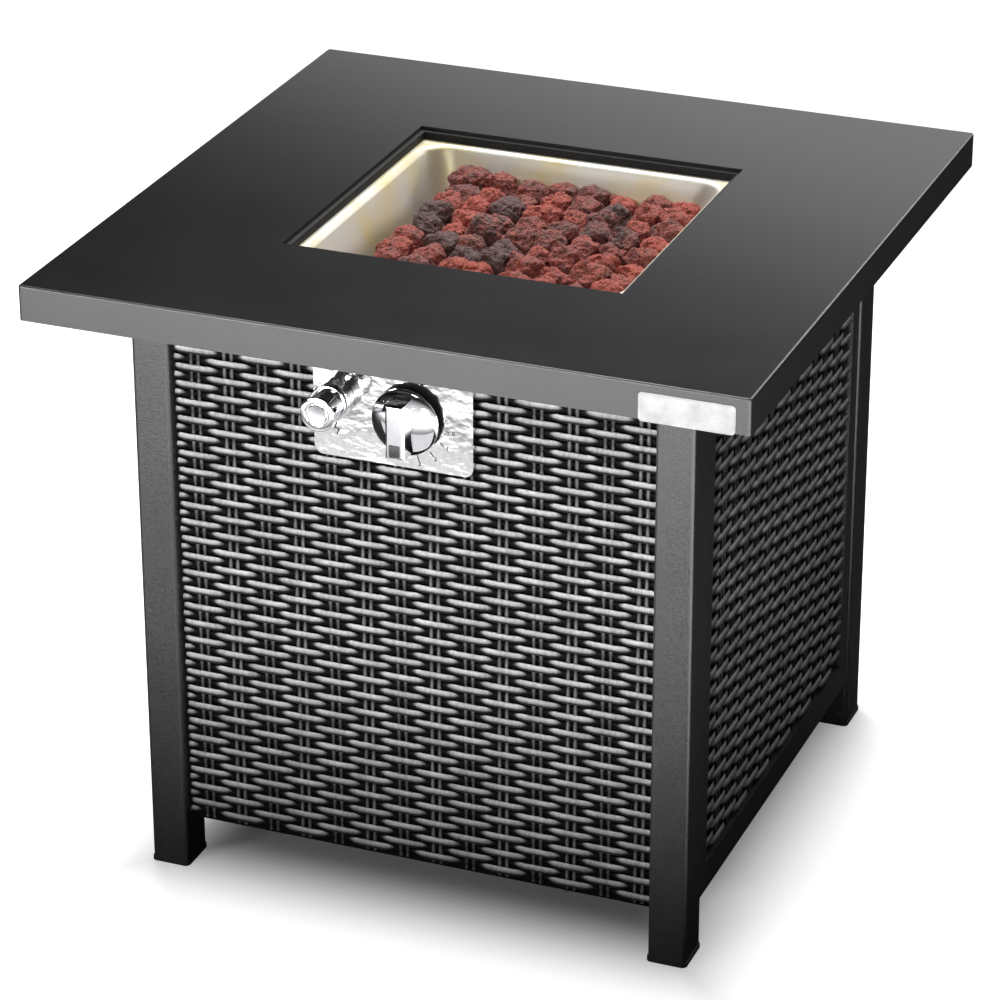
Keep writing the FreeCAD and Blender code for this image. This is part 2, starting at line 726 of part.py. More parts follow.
def rear_rail(low, high):
    """Folded channel between the rear legs, drilled for a pivot pin."""
    rail = turned(pressed_panel(FRONT_WIDTH, low, high, SIDE_FACE, PANEL_FOLD), SIDES["rear"])
    pin_fold = low if low > PANEL_LOW else high - PANEL_SHEET
    pin_hole = rod(PIVOT_R + RUNNING, at_height(PIVOT, pin_fold), at_height(PIVOT, pin_fold + PANEL_SHEET))
    return without(rail, pin_hole, *near(rail, FOLD_HOLES))


def rear_door():
    """Door over the cylinder bay, hung on two pivot pins at its left edge."""
    door = pressed_panel(DOOR_WIDTH, DOOR_LOW, DOOR_TOP, SIDE_FACE, DOOR_FOLD, DOOR_DISH)
    pin_hole = rod(PIVOT_R + RUNNING, at_height(PIVOT, DOOR_LOW), at_height(PIVOT, DOOR_TOP))
    pull_hole = rod(M4_R + RUNNING, PULL, PULL + FRONT * PANEL_SHEET)
    return without(turned(door, SIDES["rear"]), pin_hole, pull_hole)


PULL = V(DOOR_WIDTH / 2 - BORDER_SIDE / 2, SIDE_FACE, DOOR_MIDDLE)


def door_pins():
    """Headed pivot pins, one in each rear rail."""
    upper = PANEL_LOW + RAIL_LOW - PANEL_SHEET
    lower = UNDER_TOP - RAIL_HIGH + PANEL_SHEET
    length = PANEL_SHEET + DOOR_GAP + PIVOT_ENTRY
    pin = joined(rod(PIVOT_R, V(0, 0, 0), V(0, 0, length)),
                 rod(PIVOT_HEAD_R, V(0, 0, -PIVOT_HEAD), V(0, 0, 0)))
    return aimed(pin, at_height(PIVOT, upper), UP), aimed(pin, at_height(PIVOT, lower), DOWN)


def door_washers():
    """Plain washers that carry the door on the lower rail and guide it at the upper one."""
    ends = (DOOR_LOW - DOOR_GAP, DOOR_TOP)
    return [sleeve(WASHER_R, PIVOT_R + RUNNING, at_height(PIVOT, low), at_height(PIVOT, low + DOOR_GAP))
            for low in ends]


def door_pull():
    """Turned knob on the door's free edge."""
    foot_r, foot = PULL_FOOT
    profile = [(0, 0), (foot_r, 0), (foot_r, foot), (PULL_STEM_R, 2 * foot), (PULL_STEM_R, PULL_NECK),
               (PULL_R, PULL_NECK + PULL_FLARE), (PULL_R, PULL_REACH - PULL_EDGE),
               (PULL_R - PULL_EDGE, PULL_REACH), (0, PULL_REACH)]
    outline = Part.makePolygon([V(r, 0, z) for r, z in profile] + [V(0, 0, 0)])
    body = Part.Face(outline).revolve(V(0, 0, 0), UP, 360)
    return aimed(body.cut(rod(M4_R + RUNNING, V(0, 0, 0), V(0, 0, SCREW_REACH))), PULL, BACK)


def pull_screw():
    """Screw from inside the door into its pull."""
    return aimed(screw(M4_R, M4_HEAD, PANEL_SHEET + SCREW_REACH - HOLE_GAP), PULL + FRONT * PANEL_SHEET, BACK)


def door_strike():
    """Steel angle on the door's free fold that meets the magnet."""
    inner = DOOR_WIDTH / 2 - PANEL_SHEET
    near_y = SIDE_FACE - DOOR_FOLD - SEAT_GAP
    height = (DOOR_MIDDLE - STRIKE_HEIGHT / 2, DOOR_MIDDLE + STRIKE_HEIGHT / 2)
    plate = box((inner - CATCH_SIZE[0], inner), (near_y, near_y + PANEL_SHEET), height)
    tab = box((inner - PANEL_SHEET, inner), (near_y, SIDE_FACE - PANEL_SHEET - SEAT_GAP), height)
    return joined(plate, tab)


def catch_box(size, front):
    """Block against the rear right leg with its front face at a given depth."""
    width, depth, height = size
    inner = FRONT_WIDTH / 2 - CATCH_PLATE - (CATCH_SIZE[0] - width) / 2
    return box((inner - width, inner), (front - depth, front),
               (DOOR_MIDDLE - height / 2, DOOR_MIDDLE + height / 2))


def catch_magnet():
    """Magnet let into the front of the catch."""
    return catch_box(MAGNET_SIZE, CATCH_FRONT)


def door_catch():
    """Catch body with a screwed plate against the rear right leg."""
    reach = CATCH_SIZE[2] / 2 + CATCH_EAR
    face = FRONT_WIDTH / 2
    plate = box((face - CATCH_PLATE, face), (CATCH_FRONT - CATCH_SIZE[1], CATCH_FRONT),
                (DOOR_MIDDLE - reach, DOOR_MIDDLE + reach))
    return without(joined(plate, catch_box(CATCH_SIZE, CATCH_FRONT)), catch_magnet(), *CATCH_HOLES)


def base_tray():
    """Pressed floor of the body with a rim, corner cut-outs, vents and the cylinder's welded ring."""
    reach = SIDE_FACE - PANEL_SHEET - TRAY_GAP
    front = FRONT_FACE - PANEL_SHEET - TRAY_GAP
    rim = TRAY_LOW + TRAY_RIM
    outer = box((-reach, reach), (-front, reach), (TRAY_LOW, rim))
    inner = box((TRAY_SHEET - reach, reach - TRAY_SHEET), (TRAY_SHEET - front, reach - TRAY_SHEET),
                (TRAY_FLOOR, rim))
    notch_x = FRONT_WIDTH / 2 - PANEL_SHEET - TRAY_GAP
    notch_y = SIDE_WIDTH / 2 - PANEL_SHEET - TRAY_GAP
    notches = [box((sx * notch_x, sx * HALF_BODY), (sy * notch_y, sy * HALF_BODY), (TRAY_LOW, rim))
               for sx in (-1, 1) for sy in (-1, 1)]
    vents = []
    for k in range(VENT_COUNT):
        angle = 2 * math.pi * k / VENT_COUNT
        centre = V(VENT_CIRCLE_R * math.cos(angle), VENT_CIRCLE_R * math.sin(angle), TRAY_LOW)
        vents.append(rod(VENT_R, centre, at_height(centre, TRAY_FLOOR)))
    tray = without(outer.cut(inner), *notches, *vents, *drop_holes(TRAY_SEATS, M5_R + RUNNING))
    ring = sleeve(CYLINDER_RING_R, CYLINDER_RING_R - CYLINDER_RING_WALL, V(0, 0, TRAY_FLOOR),
                  V(0, 0, TRAY_FLOOR + CYLINDER_RING_HEIGHT))
    return joined(tray, ring)


def bowl_lip(growth):
    """Half widths, corner radii and heights of the bowl's wall, from its rolled lip to its floor."""
    slope = (BOWL_MOUTH - BOWL_FLOOR) / BOWL_DEPTH
    stations = []
    for angle in (90, 67.5, 45, 22.5, 0):
        a = math.radians(angle)
        drop = BOWL_LIP_R * (1 - math.sin(a))
        half = BOWL_MOUTH + BOWL_LIP_R * (1 - math.cos(a)) - slope * drop
        stations.append((half + growth, BOWL_MOUTH_CORNER_R + half + growth - BOWL_MOUTH, BOWL_TOP - drop))
    return stations


def bowl_solid(growth, floor):
    """Closed solid inside the bowl's wall, grown outwards by the sheet."""
    wires = [rounded_wire(half, half, corner, height) for half, corner, height in bowl_lip(growth)]
    wires.append(rounded_wire(BOWL_FLOOR + growth, BOWL_FLOOR + growth, BOWL_FLOOR_CORNER_R + growth, floor))
    return Part.makeLoft(wires, True, True)


SHIELD_SEATS = [V(sx * SHIELD_LINE, sy * SHIELD_LINE, BOWL_UNDER) for sx in (-1, 1) for sy in (-1, 1)]
SHIELD_TOP = BOWL_UNDER - SHIELD_DROP
CERAMIC = V(-PILOT_SPREAD, PILOT_Y, 0)
SENSOR = V(PILOT_SPREAD, PILOT_Y, 0)


def fire_bowl():
    """Stainless bowl with a flange under the collar, a rolled lip, sloped walls and four studs below."""
    flange = slab(BOWL_FLANGE, BOWL_FLANGE, BOWL_FLANGE_CORNER_R, BOWL_TOP - BOWL_SHEET, BOWL_TOP)
    body = joined(flange, bowl_solid(BOWL_SHEET, BOWL_UNDER))
    body = body.cut(bowl_solid(0, BOWL_INNER_FLOOR))
    holes = [rod(M5_R + HOLE_GAP, at_height(seat, BOWL_TOP - BOWL_SHEET), at_height(seat, BOWL_TOP))
             for seat in BOWL_SEATS]
    for centre, radius in ((V(0, 0, 0), SPIGOT_R), (CERAMIC, CERAMIC_R), (SENSOR, TIP_R)):
        low = at_height(centre, BOWL_UNDER)
        holes.append(rod(radius + HOLE_GAP, low, low + UP * BOWL_SHEET))
    length = SHIELD_DROP + SHIELD_SHEET + M5_NUT[1] + THREAD_PAST_NUT
    studs = [rod(M5_R, seat, seat + DOWN * length) for seat in SHIELD_SEATS]
    return joined(body.cut(holes), *studs)


RING_Z = BOWL_INNER_FLOOR + RING_LIFT
HUB_FOOT = V(0, 0, BOWL_INNER_FLOOR)
MIXER_BORE_R = MIXER_R - MIXER_WALL


def burner_ring():
    """Hollow ring with a cross tube, a hub on the bowl's floor, a threaded spigot and gas ports."""
    centre = V(0, 0, RING_Z)
    hub_top = BOWL_INNER_FLOOR + HUB_HEIGHT
    spigot_low = BOWL_UNDER - SPIGOT_DROP
    across = (V(-RING_R, 0, RING_Z), V(RING_R, 0, RING_Z))
    outer = joined(Part.makeTorus(RING_R, RING_TUBE_R, centre), rod(CROSS_TUBE_R, *across),
                   rod(HUB_R, HUB_FOOT, V(0, 0, hub_top)), rod(SPIGOT_R, V(0, 0, spigot_low), HUB_FOOT))
    inner = joined(Part.makeTorus(RING_R, RING_TUBE_R - RING_WALL, centre),
                   rod(CROSS_TUBE_R - RING_WALL, *across),
                   rod(MIXER_R + RUNNING, V(0, 0, spigot_low), V(0, 0, hub_top - 2 * RING_WALL)))
    ports = []
    for k in range(PORT_COUNT):
        angle = 2 * math.pi * (k + 0.5) / PORT_COUNT
        place = V(RING_R * math.cos(angle), RING_R * math.sin(angle), RING_Z)
        ports.append(rod(PORT_R, place, place + UP * RING_TUBE_R * 1.2))
    return outer.cut(inner).cut(ports)


def burner_nut():
    """Lock nut on the hub's spigot, under the bowl."""
    return aimed(nut(HUB_NUT, SPIGOT_R + RUNNING), V(0, 0, BOWL_UNDER), DOWN)


MIXER_END = V(0, -MIXER_LENGTH, KNOB_Z)


def mixer_elbow():
    """Tube that mixes air and gas: from the hub down, round a bend and forward, with four air holes."""
    top = V(0, 0, KNOB_Z + MIXER_BEND_R + MIXER_ENTRY)
    bend = V(0, 0, KNOB_Z + MIXER_BEND_R)
    level = V(0, -MIXER_BEND_R, KNOB_Z)
    middle = V(0, -MIXER_BEND_R * (1 - math.sqrt(0.5)), KNOB_Z + MIXER_BEND_R * (1 - math.sqrt(0.5)))
    path = Part.Wire([Part.LineSegment(top, bend).toShape(), Part.Arc(bend, middle, level).toShape(),
                      Part.LineSegment(level, MIXER_END).toShape()])
    outer = path.makePipeShell([Part.Wire(Part.makeCircle(MIXER_R, top, DOWN))], True, False)
    inner = path.makePipeShell([Part.Wire(Part.makeCircle(MIXER_BORE_R, top, DOWN))], True, False)
    return without(outer.cut(inner), *air_cutters())


def air_cutters():
    """Cross drills of the air holes, shared by the mixer and its shutter."""
    centre = MIXER_END + BACK * AIR_HOLE_INSET
    reach = MIXER_R + 2 * SHUTTER_WALL
    return [rod(AIR_HOLE_R, centre - way * reach, centre + way * reach) for way in (V(1, 0, 0), UP)]


def air_shutter():
    """Collar that turns on the mixer to cover its air holes."""
    centre = MIXER_END + BACK * AIR_HOLE_INSET
    half = BACK * (SHUTTER_LENGTH / 2)
    inner = MIXER_R + RUNNING
    collar = sleeve(inner + SHUTTER_WALL, inner, centre - half, centre + half)
    return without(collar, *air_cutters())


def orifice():
    """Brass spud with its nose in the mixer, a hexagon and a flare thread."""
    across_flats, length = ORIFICE_HEX
    shank = joined(prism(across_flats, length),
                   rod(MIXER_BORE_R - RUNNING, V(0, 0, -ORIFICE_NOSE), V(0, 0, 0)),
                   rod(THREAD_R, V(0, 0, length), V(0, 0, length + THREAD_LENGTH)))
    bore = rod(GAS_BORE_R, V(0, 0, 0), V(0, 0, length + THREAD_LENGTH))
    jet = rod(ORIFICE_BORE_R, V(0, 0, -ORIFICE_NOSE), V(0, 0, 0))
    return aimed(shank.cut([bore, jet]), MIXER_END, FRONT)


VALVE_FRONT = CONTROL_BACK - VALVE_CAP
VALVE_REAR = CONTROL_BACK - VALVE_CAP - VALVE_LENGTH
PLUG_REAR = VALVE_REAR + PLUG_REAR_WALL
PLUG_FACE = PLUG_REAR + PLUG_LENGTH
OUTLET_END = VALVE_REAR - OUTLET_NECK - THREAD_LENGTH
ORIFICE_END = MIXER_LENGTH + ORIFICE_HEX[1] + THREAD_LENGTH
INLET_DEPTH = PLUG_REAR + PLUG_PORT_BACK
INLET = V(0, -INLET_DEPTH, KNOB_Z - INLET_BOSS_DROP)
VALVE_SCREW_SEATS = [KNOB + V(side * VALVE_SCREW_SPREAD, 0, 0) for side in (-1, 1)]


def valve_body():
    """Cast valve body: plug bore, ears, inlet boss below and threaded outlet behind."""
    ear_x, ear_z, ear_depth = VALVE_EAR
    ears = box((-ear_x, ear_x), (-VALVE_FRONT, ear_depth - VALVE_FRONT), (KNOB_Z - ear_z, KNOB_Z + ear_z))
    front = at_depth(KNOB, VALVE_FRONT)
    rear = at_depth(KNOB, VALVE_REAR)
    neck = at_depth(KNOB, VALVE_REAR - OUTLET_NECK)
    end = at_depth(KNOB, OUTLET_END)
    over_inlet = at_height(INLET, KNOB_Z)
    body = joined(rod(VALVE_R, front, rear), ears, rod(OUTLET_NECK_R, rear, neck), rod(THREAD_R, neck, end),
                  rod(INLET_BOSS_R, over_inlet, INLET))
    screws = [rod(M4_R + RUNNING, at_depth(seat, VALVE_FRONT), at_depth(seat, VALVE_FRONT - SCREW_REACH))
              for seat in VALVE_SCREW_SEATS]
    return without(body, rod(PLUG_R + RUNNING, front, at_depth(KNOB, PLUG_REAR)),
                   rod(GAS_BORE_R, at_depth(KNOB, PLUG_REAR), end), rod(PLUG_PORT_R, over_inlet, INLET),
                   rod(THREAD_R + RUNNING, INLET, INLET + UP * INLET_SHANK), *screws)


def valve_cap():
    """Plate that closes the valve and guides the stem."""
    ear_x, ear_z, _ = VALVE_EAR
    ears = box((-ear_x, ear_x), (-CONTROL_BACK, -VALVE_FRONT), (KNOB_Z - ear_z, KNOB_Z + ear_z))
    back = at_depth(KNOB, CONTROL_BACK)
    front = at_depth(KNOB, VALVE_FRONT)
    holes = [rod(M4_R + RUNNING, at_depth(seat, CONTROL_BACK), at_depth(seat, VALVE_FRONT))
             for seat in VALVE_SCREW_SEATS]
    return without(joined(ears, rod(VALVE_R, back, front)), rod(STEM_R + RUNNING, back, front), *holes)


def valve_plug():
    """Turning plug: a flatted socket for the stem, a side port and a rear outlet."""
    front = at_depth(KNOB, PLUG_FACE)
    rear = at_depth(KNOB, PLUG_REAR)
    socket = aimed(d_bar(TANG_R + RUNNING, TANG_FLAT + RUNNING, SOCKET_DEPTH), front, BACK)
    port = at_depth(KNOB, INLET_DEPTH)
    return without(rod(PLUG_R, front, rear), socket, rod(PLUG_PORT_R, port, port + V(-2 * PLUG_R, 0, 0)),
                   rod(GAS_BORE_R, port, rear))


KNOB_BACK = CONTROL_FACE + KNOB_TRAVEL + KNOB_SPARE
COLLAR_FACE = VALVE_FRONT - COLLAR_GAP


def valve_stem():
    """Stem: a flatted end in the knob, a round neck, a collar and a flatted tang in the plug."""
    tip = KNOB_BACK + STEM_IN_KNOB
    collar_back = COLLAR_FACE - COLLAR_THICK
    flatted = aimed(d_bar(STEM_R, STEM_FLAT, tip - CONTROL_FACE), at_depth(KNOB, CONTROL_FACE), FRONT)
    tang = aimed(d_bar(TANG_R, TANG_FLAT, TANG_LENGTH), at_depth(KNOB, collar_back), BACK)
    return joined(flatted, rod(STEM_R, at_depth(KNOB, CONTROL_FACE), at_depth(KNOB, COLLAR_FACE)),
                  rod(COLLAR_R, at_depth(KNOB, COLLAR_FACE), at_depth(KNOB, collar_back)), tang)


def valve_spring():
    """Sleeve in the place of the coil spring between the stem's collar and the plug."""
    inner, outer = VALVE_SPRING_R
    return sleeve(outer, inner, at_depth(KNOB, COLLAR_FACE - COLLAR_THICK), at_depth(KNOB, PLUG_FACE))


def gas_knob():
    """Knob: a domed round skirt with a bevelled grip bar, a flatted bore and a set screw hole."""
    arc = Part.Arc(V(KNOB_R, 0, KNOB_RIM), V(KNOB_R / 2, 0, KNOB_RIM + 0.75 * KNOB_DOME),
                   V(0, 0, KNOB_RIM + KNOB_DOME)).toShape()
    straight = Part.makePolygon([V(0, 0, KNOB_RIM + KNOB_DOME), V(0, 0, 0), V(KNOB_R, 0, 0),
                                 V(KNOB_R, 0, KNOB_RIM)])
    skirt = Part.Face(Part.Wire([arc] + straight.Edges)).revolve(V(0, 0, 0), UP, 360)
    grip = box((-GRIP_WIDTH / 2, GRIP_WIDTH / 2), (-GRIP_HEIGHT / 2, GRIP_HEIGHT / 2), (KNOB_RIM, GRIP_REACH))
    grip = grip.makeChamfer(GRIP_BEVEL, [e for e in grip.Edges if e.BoundBox.ZMin > GRIP_REACH - 0.1])
    body = joined(skirt, grip)
    body = body.cut(d_bar(STEM_R + RUNNING, STEM_FLAT + RUNNING, STEM_IN_KNOB + HOLE_GAP))
    screw_axis = V(0, 0, GRIP_REACH - SET_SCREW_BACK)
    body = body.cut(rod(M4_R + RUNNING, screw_axis, screw_axis + V(GRIP_WIDTH, 0, 0)))
    return aimed(body, at_depth(KNOB, KNOB_BACK), FRONT)


def knob_set_screw():
    """Grub screw from the grip's side onto the stem's flat."""
    centre = at_depth(KNOB, KNOB_BACK + GRIP_REACH - SET_SCREW_BACK)
    start = centre + V(STEM_FLAT + RUNNING, 0, 0)
    end = centre + V(GRIP_WIDTH / 2 - SET_SCREW_INSET, 0, 0)
    return rod(M4_R, start, end).cut(aimed(prism(M4_R, SET_SCREW_SOCKET), end, V(-1, 0, 0)))


def inlet_fitting():
    """Brass fitting under the valve with a flare end for the gas hose."""
    across_flats, height = INLET_HEX
    length = height + INLET_FLARE_LENGTH
    body = joined(rod(THREAD_R, V(0, 0, -INLET_SHANK), V(0, 0, 0)), prism(across_flats, height),
                  rod(INLET_FLARE_R, V(0, 0, height), V(0, 0, length)))
    return aimed(body.cut(rod(GAS_BORE_R, V(0, 0, -INLET_SHANK), V(0, 0, length))), INLET, DOWN)


def gas_tube():
    """Straight tube from the valve's outlet to the orifice."""
    bore = GAS_TUBE_R - GAS_TUBE_WALL
    return sleeve(GAS_TUBE_R, bore, at_depth(KNOB, OUTLET_END), at_depth(KNOB, ORIFICE_END))


def flare_nuts():
    """Two hexagon nuts that draw the tube onto the valve and the orifice."""
    across_flats, length = FLARE_NUT
    body = prism(across_flats, length)
    body = body.cut([rod(THREAD_R + RUNNING, V(0, 0, 0), V(0, 0, FLARE_GRIP)),
                     rod(GAS_TUBE_R + RUNNING, V(0, 0, FLARE_GRIP), V(0, 0, length))])
    return (aimed(body, at_depth(KNOB, OUTLET_END + FLARE_GRIP), BACK),
            aimed(body, at_depth(KNOB, ORIFICE_END - FLARE_GRIP), FRONT))


def control_panel():
    """Polished plate with returned edges, studs behind its corners and holes for the controls."""
    half_x = CONTROL_WIDTH / 2
    half_z = (CONTROL_HIGH - CONTROL_LOW) / 2
    depth = CONTROL_FACE - FRONT_FACE
    sheet = CONTROL_SHEET
    pan = slab(half_x, half_z, CONTROL_CORNER_R, 0, depth)
    pan = pan.cut(slab(half_x - sheet, half_z - sheet, CONTROL_CORNER_R - sheet, 0, depth - sheet))
    pan = aimed(pan, V(CONTROL_CENTRE_X, -FRONT_FACE, CONTROL_LOW + half_z), FRONT)
    tip = FRONT_FACE - PANEL_SHEET - M4_NUT[1] - THREAD_PAST_NUT
    studs = [rod(M4_R, at_depth(seat, CONTROL_BACK), at_depth(seat, tip)) for seat in control_seats()]
    holes = [rod(M4_R + RUNNING, at_depth(seat, CONTROL_BACK), at_depth(seat, CONTROL_FACE))
             for seat in VALVE_SCREW_SEATS]
    for axis, radius in ((KNOB, STEM_R + STEM_HOLE_GAP), (IGNITER, IGNITER_THREAD_R + RUNNING)):
        holes.append(rod(radius, at_depth(axis, CONTROL_BACK), at_depth(axis, CONTROL_FACE)))
    return joined(pan, *studs).cut(holes)


def igniter_depths():
    """Distances in front of the table's middle: bezel front, bore floor, button back, rear wall, rear end."""
    bezel = CONTROL_FACE + BEZEL_LENGTH
    floor = CONTROL_FACE + BEZEL_FLOOR
    button = floor + BUTTON_TRAVEL + BUTTON_STOP
    wall = floor - BATTERY_LENGTH
    return bezel, floor, button, wall, wall - IGNITER_REAR_WALL


def igniter_housing():
    """Igniter body: a bezel in front of the panel and a threaded battery tube behind it."""
    bezel, floor, _, wall, rear = igniter_depths()
    body = joined(rod(BEZEL_R, at_depth(IGNITER, bezel), at_depth(IGNITER, CONTROL_FACE)),
                  rod(IGNITER_THREAD_R, at_depth(IGNITER, CONTROL_FACE), at_depth(IGNITER, rear)))
    return body.cut([rod(BUTTON_R + RUNNING, at_depth(IGNITER, bezel), at_depth(IGNITER, floor)),
                     rod(BATTERY_R + HOLE_GAP, at_depth(IGNITER, floor), at_depth(IGNITER, wall))])


def igniter_button():
    """Push button: a barrel in the bezel with a wider end and a turned ring on its face."""
    bezel, _, back, _, _ = igniter_depths()
    tip = bezel + BUTTON_REACH
    rim_r, rim = BUTTON_RIM
    ring_in, ring_out, ring_depth = BUTTON_RING
    body = joined(rod(BUTTON_R, at_depth(IGNITER, back), at_depth(IGNITER, tip)),
                  rod(rim_r, at_depth(IGNITER, tip - rim), at_depth(IGNITER, tip)))
    return body.cut(sleeve(ring_out, ring_in, at_depth(IGNITER, tip - ring_depth), at_depth(IGNITER, tip)))


def igniter_spring():
    """Sleeve in the place of the coil spring behind the button."""
    _, floor, back, _, _ = igniter_depths()
    inner, outer = IGNITER_SPRING_R
    return sleeve(outer, inner, at_depth(IGNITER, floor), at_depth(IGNITER, back))


def igniter_battery():
    """Round battery cell in the igniter's tube, with its small end cap to the front."""
    _, floor, _, wall, _ = igniter_depths()
    nub_r, nub = BATTERY_NUB
    return joined(rod(BATTERY_R, at_depth(IGNITER, wall), at_depth(IGNITER, floor - nub)),
                  rod(nub_r, at_depth(IGNITER, floor - nub), at_depth(IGNITER, floor)))


def igniter_nut():
    """Nut that holds the igniter behind the control panel."""
    return aimed(nut(IGNITER_NUT, IGNITER_THREAD_R + RUNNING), at_depth(IGNITER, CONTROL_BACK), BACK)


def igniter_terminals():
    """Two blades on the igniter's rear end."""
    width, length, thickness = TERMINAL_SIZE
    rear = igniter_depths()[-1]
    levels = [IGNITER_Z + side * TERMINAL_OFFSET for side in (-1, 1)]
    return [box((IGNITER_X - width / 2, IGNITER_X + width / 2), (-rear, length - rear),
                (level - thickness / 2, level + thickness / 2)) for level in levels]


PILOT_LOW = BOWL_UNDER - PILOT_DROP


def igniter_lead():
    """Insulated wire from the igniter's upper blade to the electrode's lower end."""
    start = V(IGNITER_X, TERMINAL_SIZE[1] - igniter_depths()[-1], IGNITER_Z + TERMINAL_OFFSET)
    end = at_height(CERAMIC, PILOT_LOW)
    low = SHIELD_TOP + LEAD_LIFT
    bend = V(*LEAD_BEND, KNOB_Z + LEAD_RISE)
    return bent_bar(LEAD_R, [start, start + BACK * LEAD_START, bend, V(*LEAD_LAND, low + 1),
                             at_height(CERAMIC, low) + FRONT * LEAD_HOOK, at_height(CERAMIC, low + 1), end])


def thermocouple():
    """Sensor tip in the flame's reach, with a capillary to the valve's rear face."""
    tip = rod(TIP_R, at_height(SENSOR, PILOT_LOW), at_height(SENSOR, PILOT_LOW + TIP_LENGTH))
    start = V(VALVE_R - CAPILLARY_INSET, -VALVE_REAR, KNOB_Z)
    low = SHIELD_TOP + LEAD_LIFT
    landing = V(PILOT_SPREAD, CAPILLARY_LAND_Y, low + 1.5)
    lead = bent_bar(CAPILLARY_R, [start, start + BACK * CAPILLARY_START, landing,
                                  at_height(SENSOR, low) + FRONT * LEAD_HOOK, at_height(SENSOR, low + 1),
                                  at_height(SENSOR, PILOT_LOW)])
    return joined(tip, lead)


def electrode_ceramic():
    """White ceramic sleeve of the spark electrode."""
    low = at_height(CERAMIC, PILOT_LOW + 2)
    return sleeve(CERAMIC_R, ROD_R + RUNNING, low, low + UP * CERAMIC_LENGTH)


def electrode_rod():
    """Steel rod through the ceramic."""
    low = at_height(CERAMIC, PILOT_LOW)
    return rod(ROD_R, low, low + UP * ROD_LENGTH)


def pilot_guard():
    """Slotted hood on a welded plate: it holds the electrode and sensor and keeps the rocks off them."""
    half_x, half_y = BRACKET_HALF
    sheet = GUARD_SHEET
    low = BOWL_INNER_FLOOR + BRACKET_SHEET
    high = low + GUARD_HEIGHT
    hood = box((-half_x, half_x), (PILOT_Y - half_y, PILOT_Y + half_y), (BOWL_INNER_FLOOR, high))
    cutters = [box((sheet - half_x, half_x - sheet), (PILOT_Y - half_y + sheet, PILOT_Y + half_y - sheet),
                   (low, high - sheet))]
    for k in range(GUARD_SLOTS):
        x = (k - (GUARD_SLOTS - 1) / 2) * 2 * GUARD_SLOT_WIDTH
        cutters.append(box((x - GUARD_SLOT_WIDTH / 2, x + GUARD_SLOT_WIDTH / 2),
                           (PILOT_Y - half_y, PILOT_Y + half_y), (low + 2 * sheet, high - 4 * sheet)))
    for centre, radius in ((CERAMIC, CERAMIC_R), (SENSOR, TIP_R)):
        cutters.append(rod(radius + RUNNING, at_height(centre, BOWL_INNER_FLOOR), at_height(centre, low)))
    return hood.cut(cutters)


def heat_shield():
    """Flat shield over the cylinder bay with its edges folded down."""
    half = SHIELD_HALF
    low = SHIELD_TOP - SHIELD_RIM
    inner = half - SHIELD_SHEET
    shield = box((-half, half), (-half, half), (low, SHIELD_TOP))
    shield = shield.cut(box((-inner, inner), (-inner, inner), (low, SHIELD_TOP - SHIELD_SHEET)))
    holes = [at_height(seat, SHIELD_TOP) for seat in SHIELD_SEATS]
    return shield.cut([rod(M5_R + HOLE_GAP, hole, hole + DOWN * SHIELD_SHEET) for hole in holes])


def nuts_at(size, bore, seats, height, direction):
    """Like nuts at several places in plan."""
    return [aimed(nut(size, bore), at_height(seat, height), direction) for seat in seats]


def clipped(faces, normal, offset):
    """Faces of a convex body after what lies beyond a plane is cut away."""
    kept, rim = [], []
    for face in faces:
        outline = []
        for one, other in zip(face, face[1:] + face[:1]):
            beyond, beyond_next = one.dot(normal) - offset, other.dot(normal) - offset
            if beyond <= 0:
                outline.append(one)
            if beyond * beyond_next < 0:
                rim.append(one + (other - one) * (beyond / (beyond - beyond_next)))
                outline.append(rim[-1])
        if len(outline) > 2:
            kept.append(outline)
    if len(rim) > 2:
        middle = sum(rim, V()) * (1 / len(rim))
        across = (rim[0] - middle).normalize()
        up = normal.cross(across)
        rim.sort(key=lambda point: math.atan2((point - middle).dot(up), (point - middle).dot(across)))
        kept.append([point for point, last in zip(rim, rim[-1:] + rim) if point.distanceToPoint(last) > 1e-6])
    return kept


def cube_faces(centre, half):
    """Six faces of a cube as lists of corners."""
    faces = []
    for axis in range(3):
        for side in (-1, 1):
            corners = []
            for u, v in ((-1, -1), (1, -1), (1, 1), (-1, 1)):
                offset = [side, u, v]
                corners.append(centre + V(*(offset[-axis:] + offset[:-axis])) * half)
            faces.append(corners)
    return faces


def bowl_planes():
    """Planes that hold a rock inside the bowl: outward normal and distance from the origin."""
    slope = (BOWL_MOUTH - BOWL_FLOOR) / BOWL_DEPTH
    flat = BOWL_FLOOR - BOWL_FLOOR_CORNER_R
    planes = [(DOWN, -BOWL_INNER_FLOOR)]
    for k in range(16):
        angle = math.radians(22.5 * k)
        way = V(math.cos(angle), math.sin(angle), 0)
        corner = [math.copysign(flat, part) if abs(part) > 0.1 else 0 for part in (way.x, way.y)]
        middle = V(*corner, BOWL_INNER_FLOOR)
        normal = (way - UP * slope).normalize()
        margin = SEAT_GAP if k % 4 == 0 else SEAT_GAP + CORNER_MARGIN
        planes.append((normal, (middle + way * BOWL_FLOOR_CORNER_R).dot(normal) - margin))
    return planes


def burner_plane(centre):
    """Plane that keeps a rock off the burner ring, hub and pilot guard, or None inside the ring."""
    ring_top = RING_Z + RING_TUBE_R + SEAT_GAP
    ring_out = RING_R + RING_TUBE_R + SEAT_GAP
    outward = V(centre.x, centre.y, 0)
    if centre.z - ring_top >= outward.Length - ring_out:
        return (DOWN, -ring_top) if centre.z > ring_top + ROCK_R[0] / 2 else None
    return outward.normalize() * -1, -ring_out


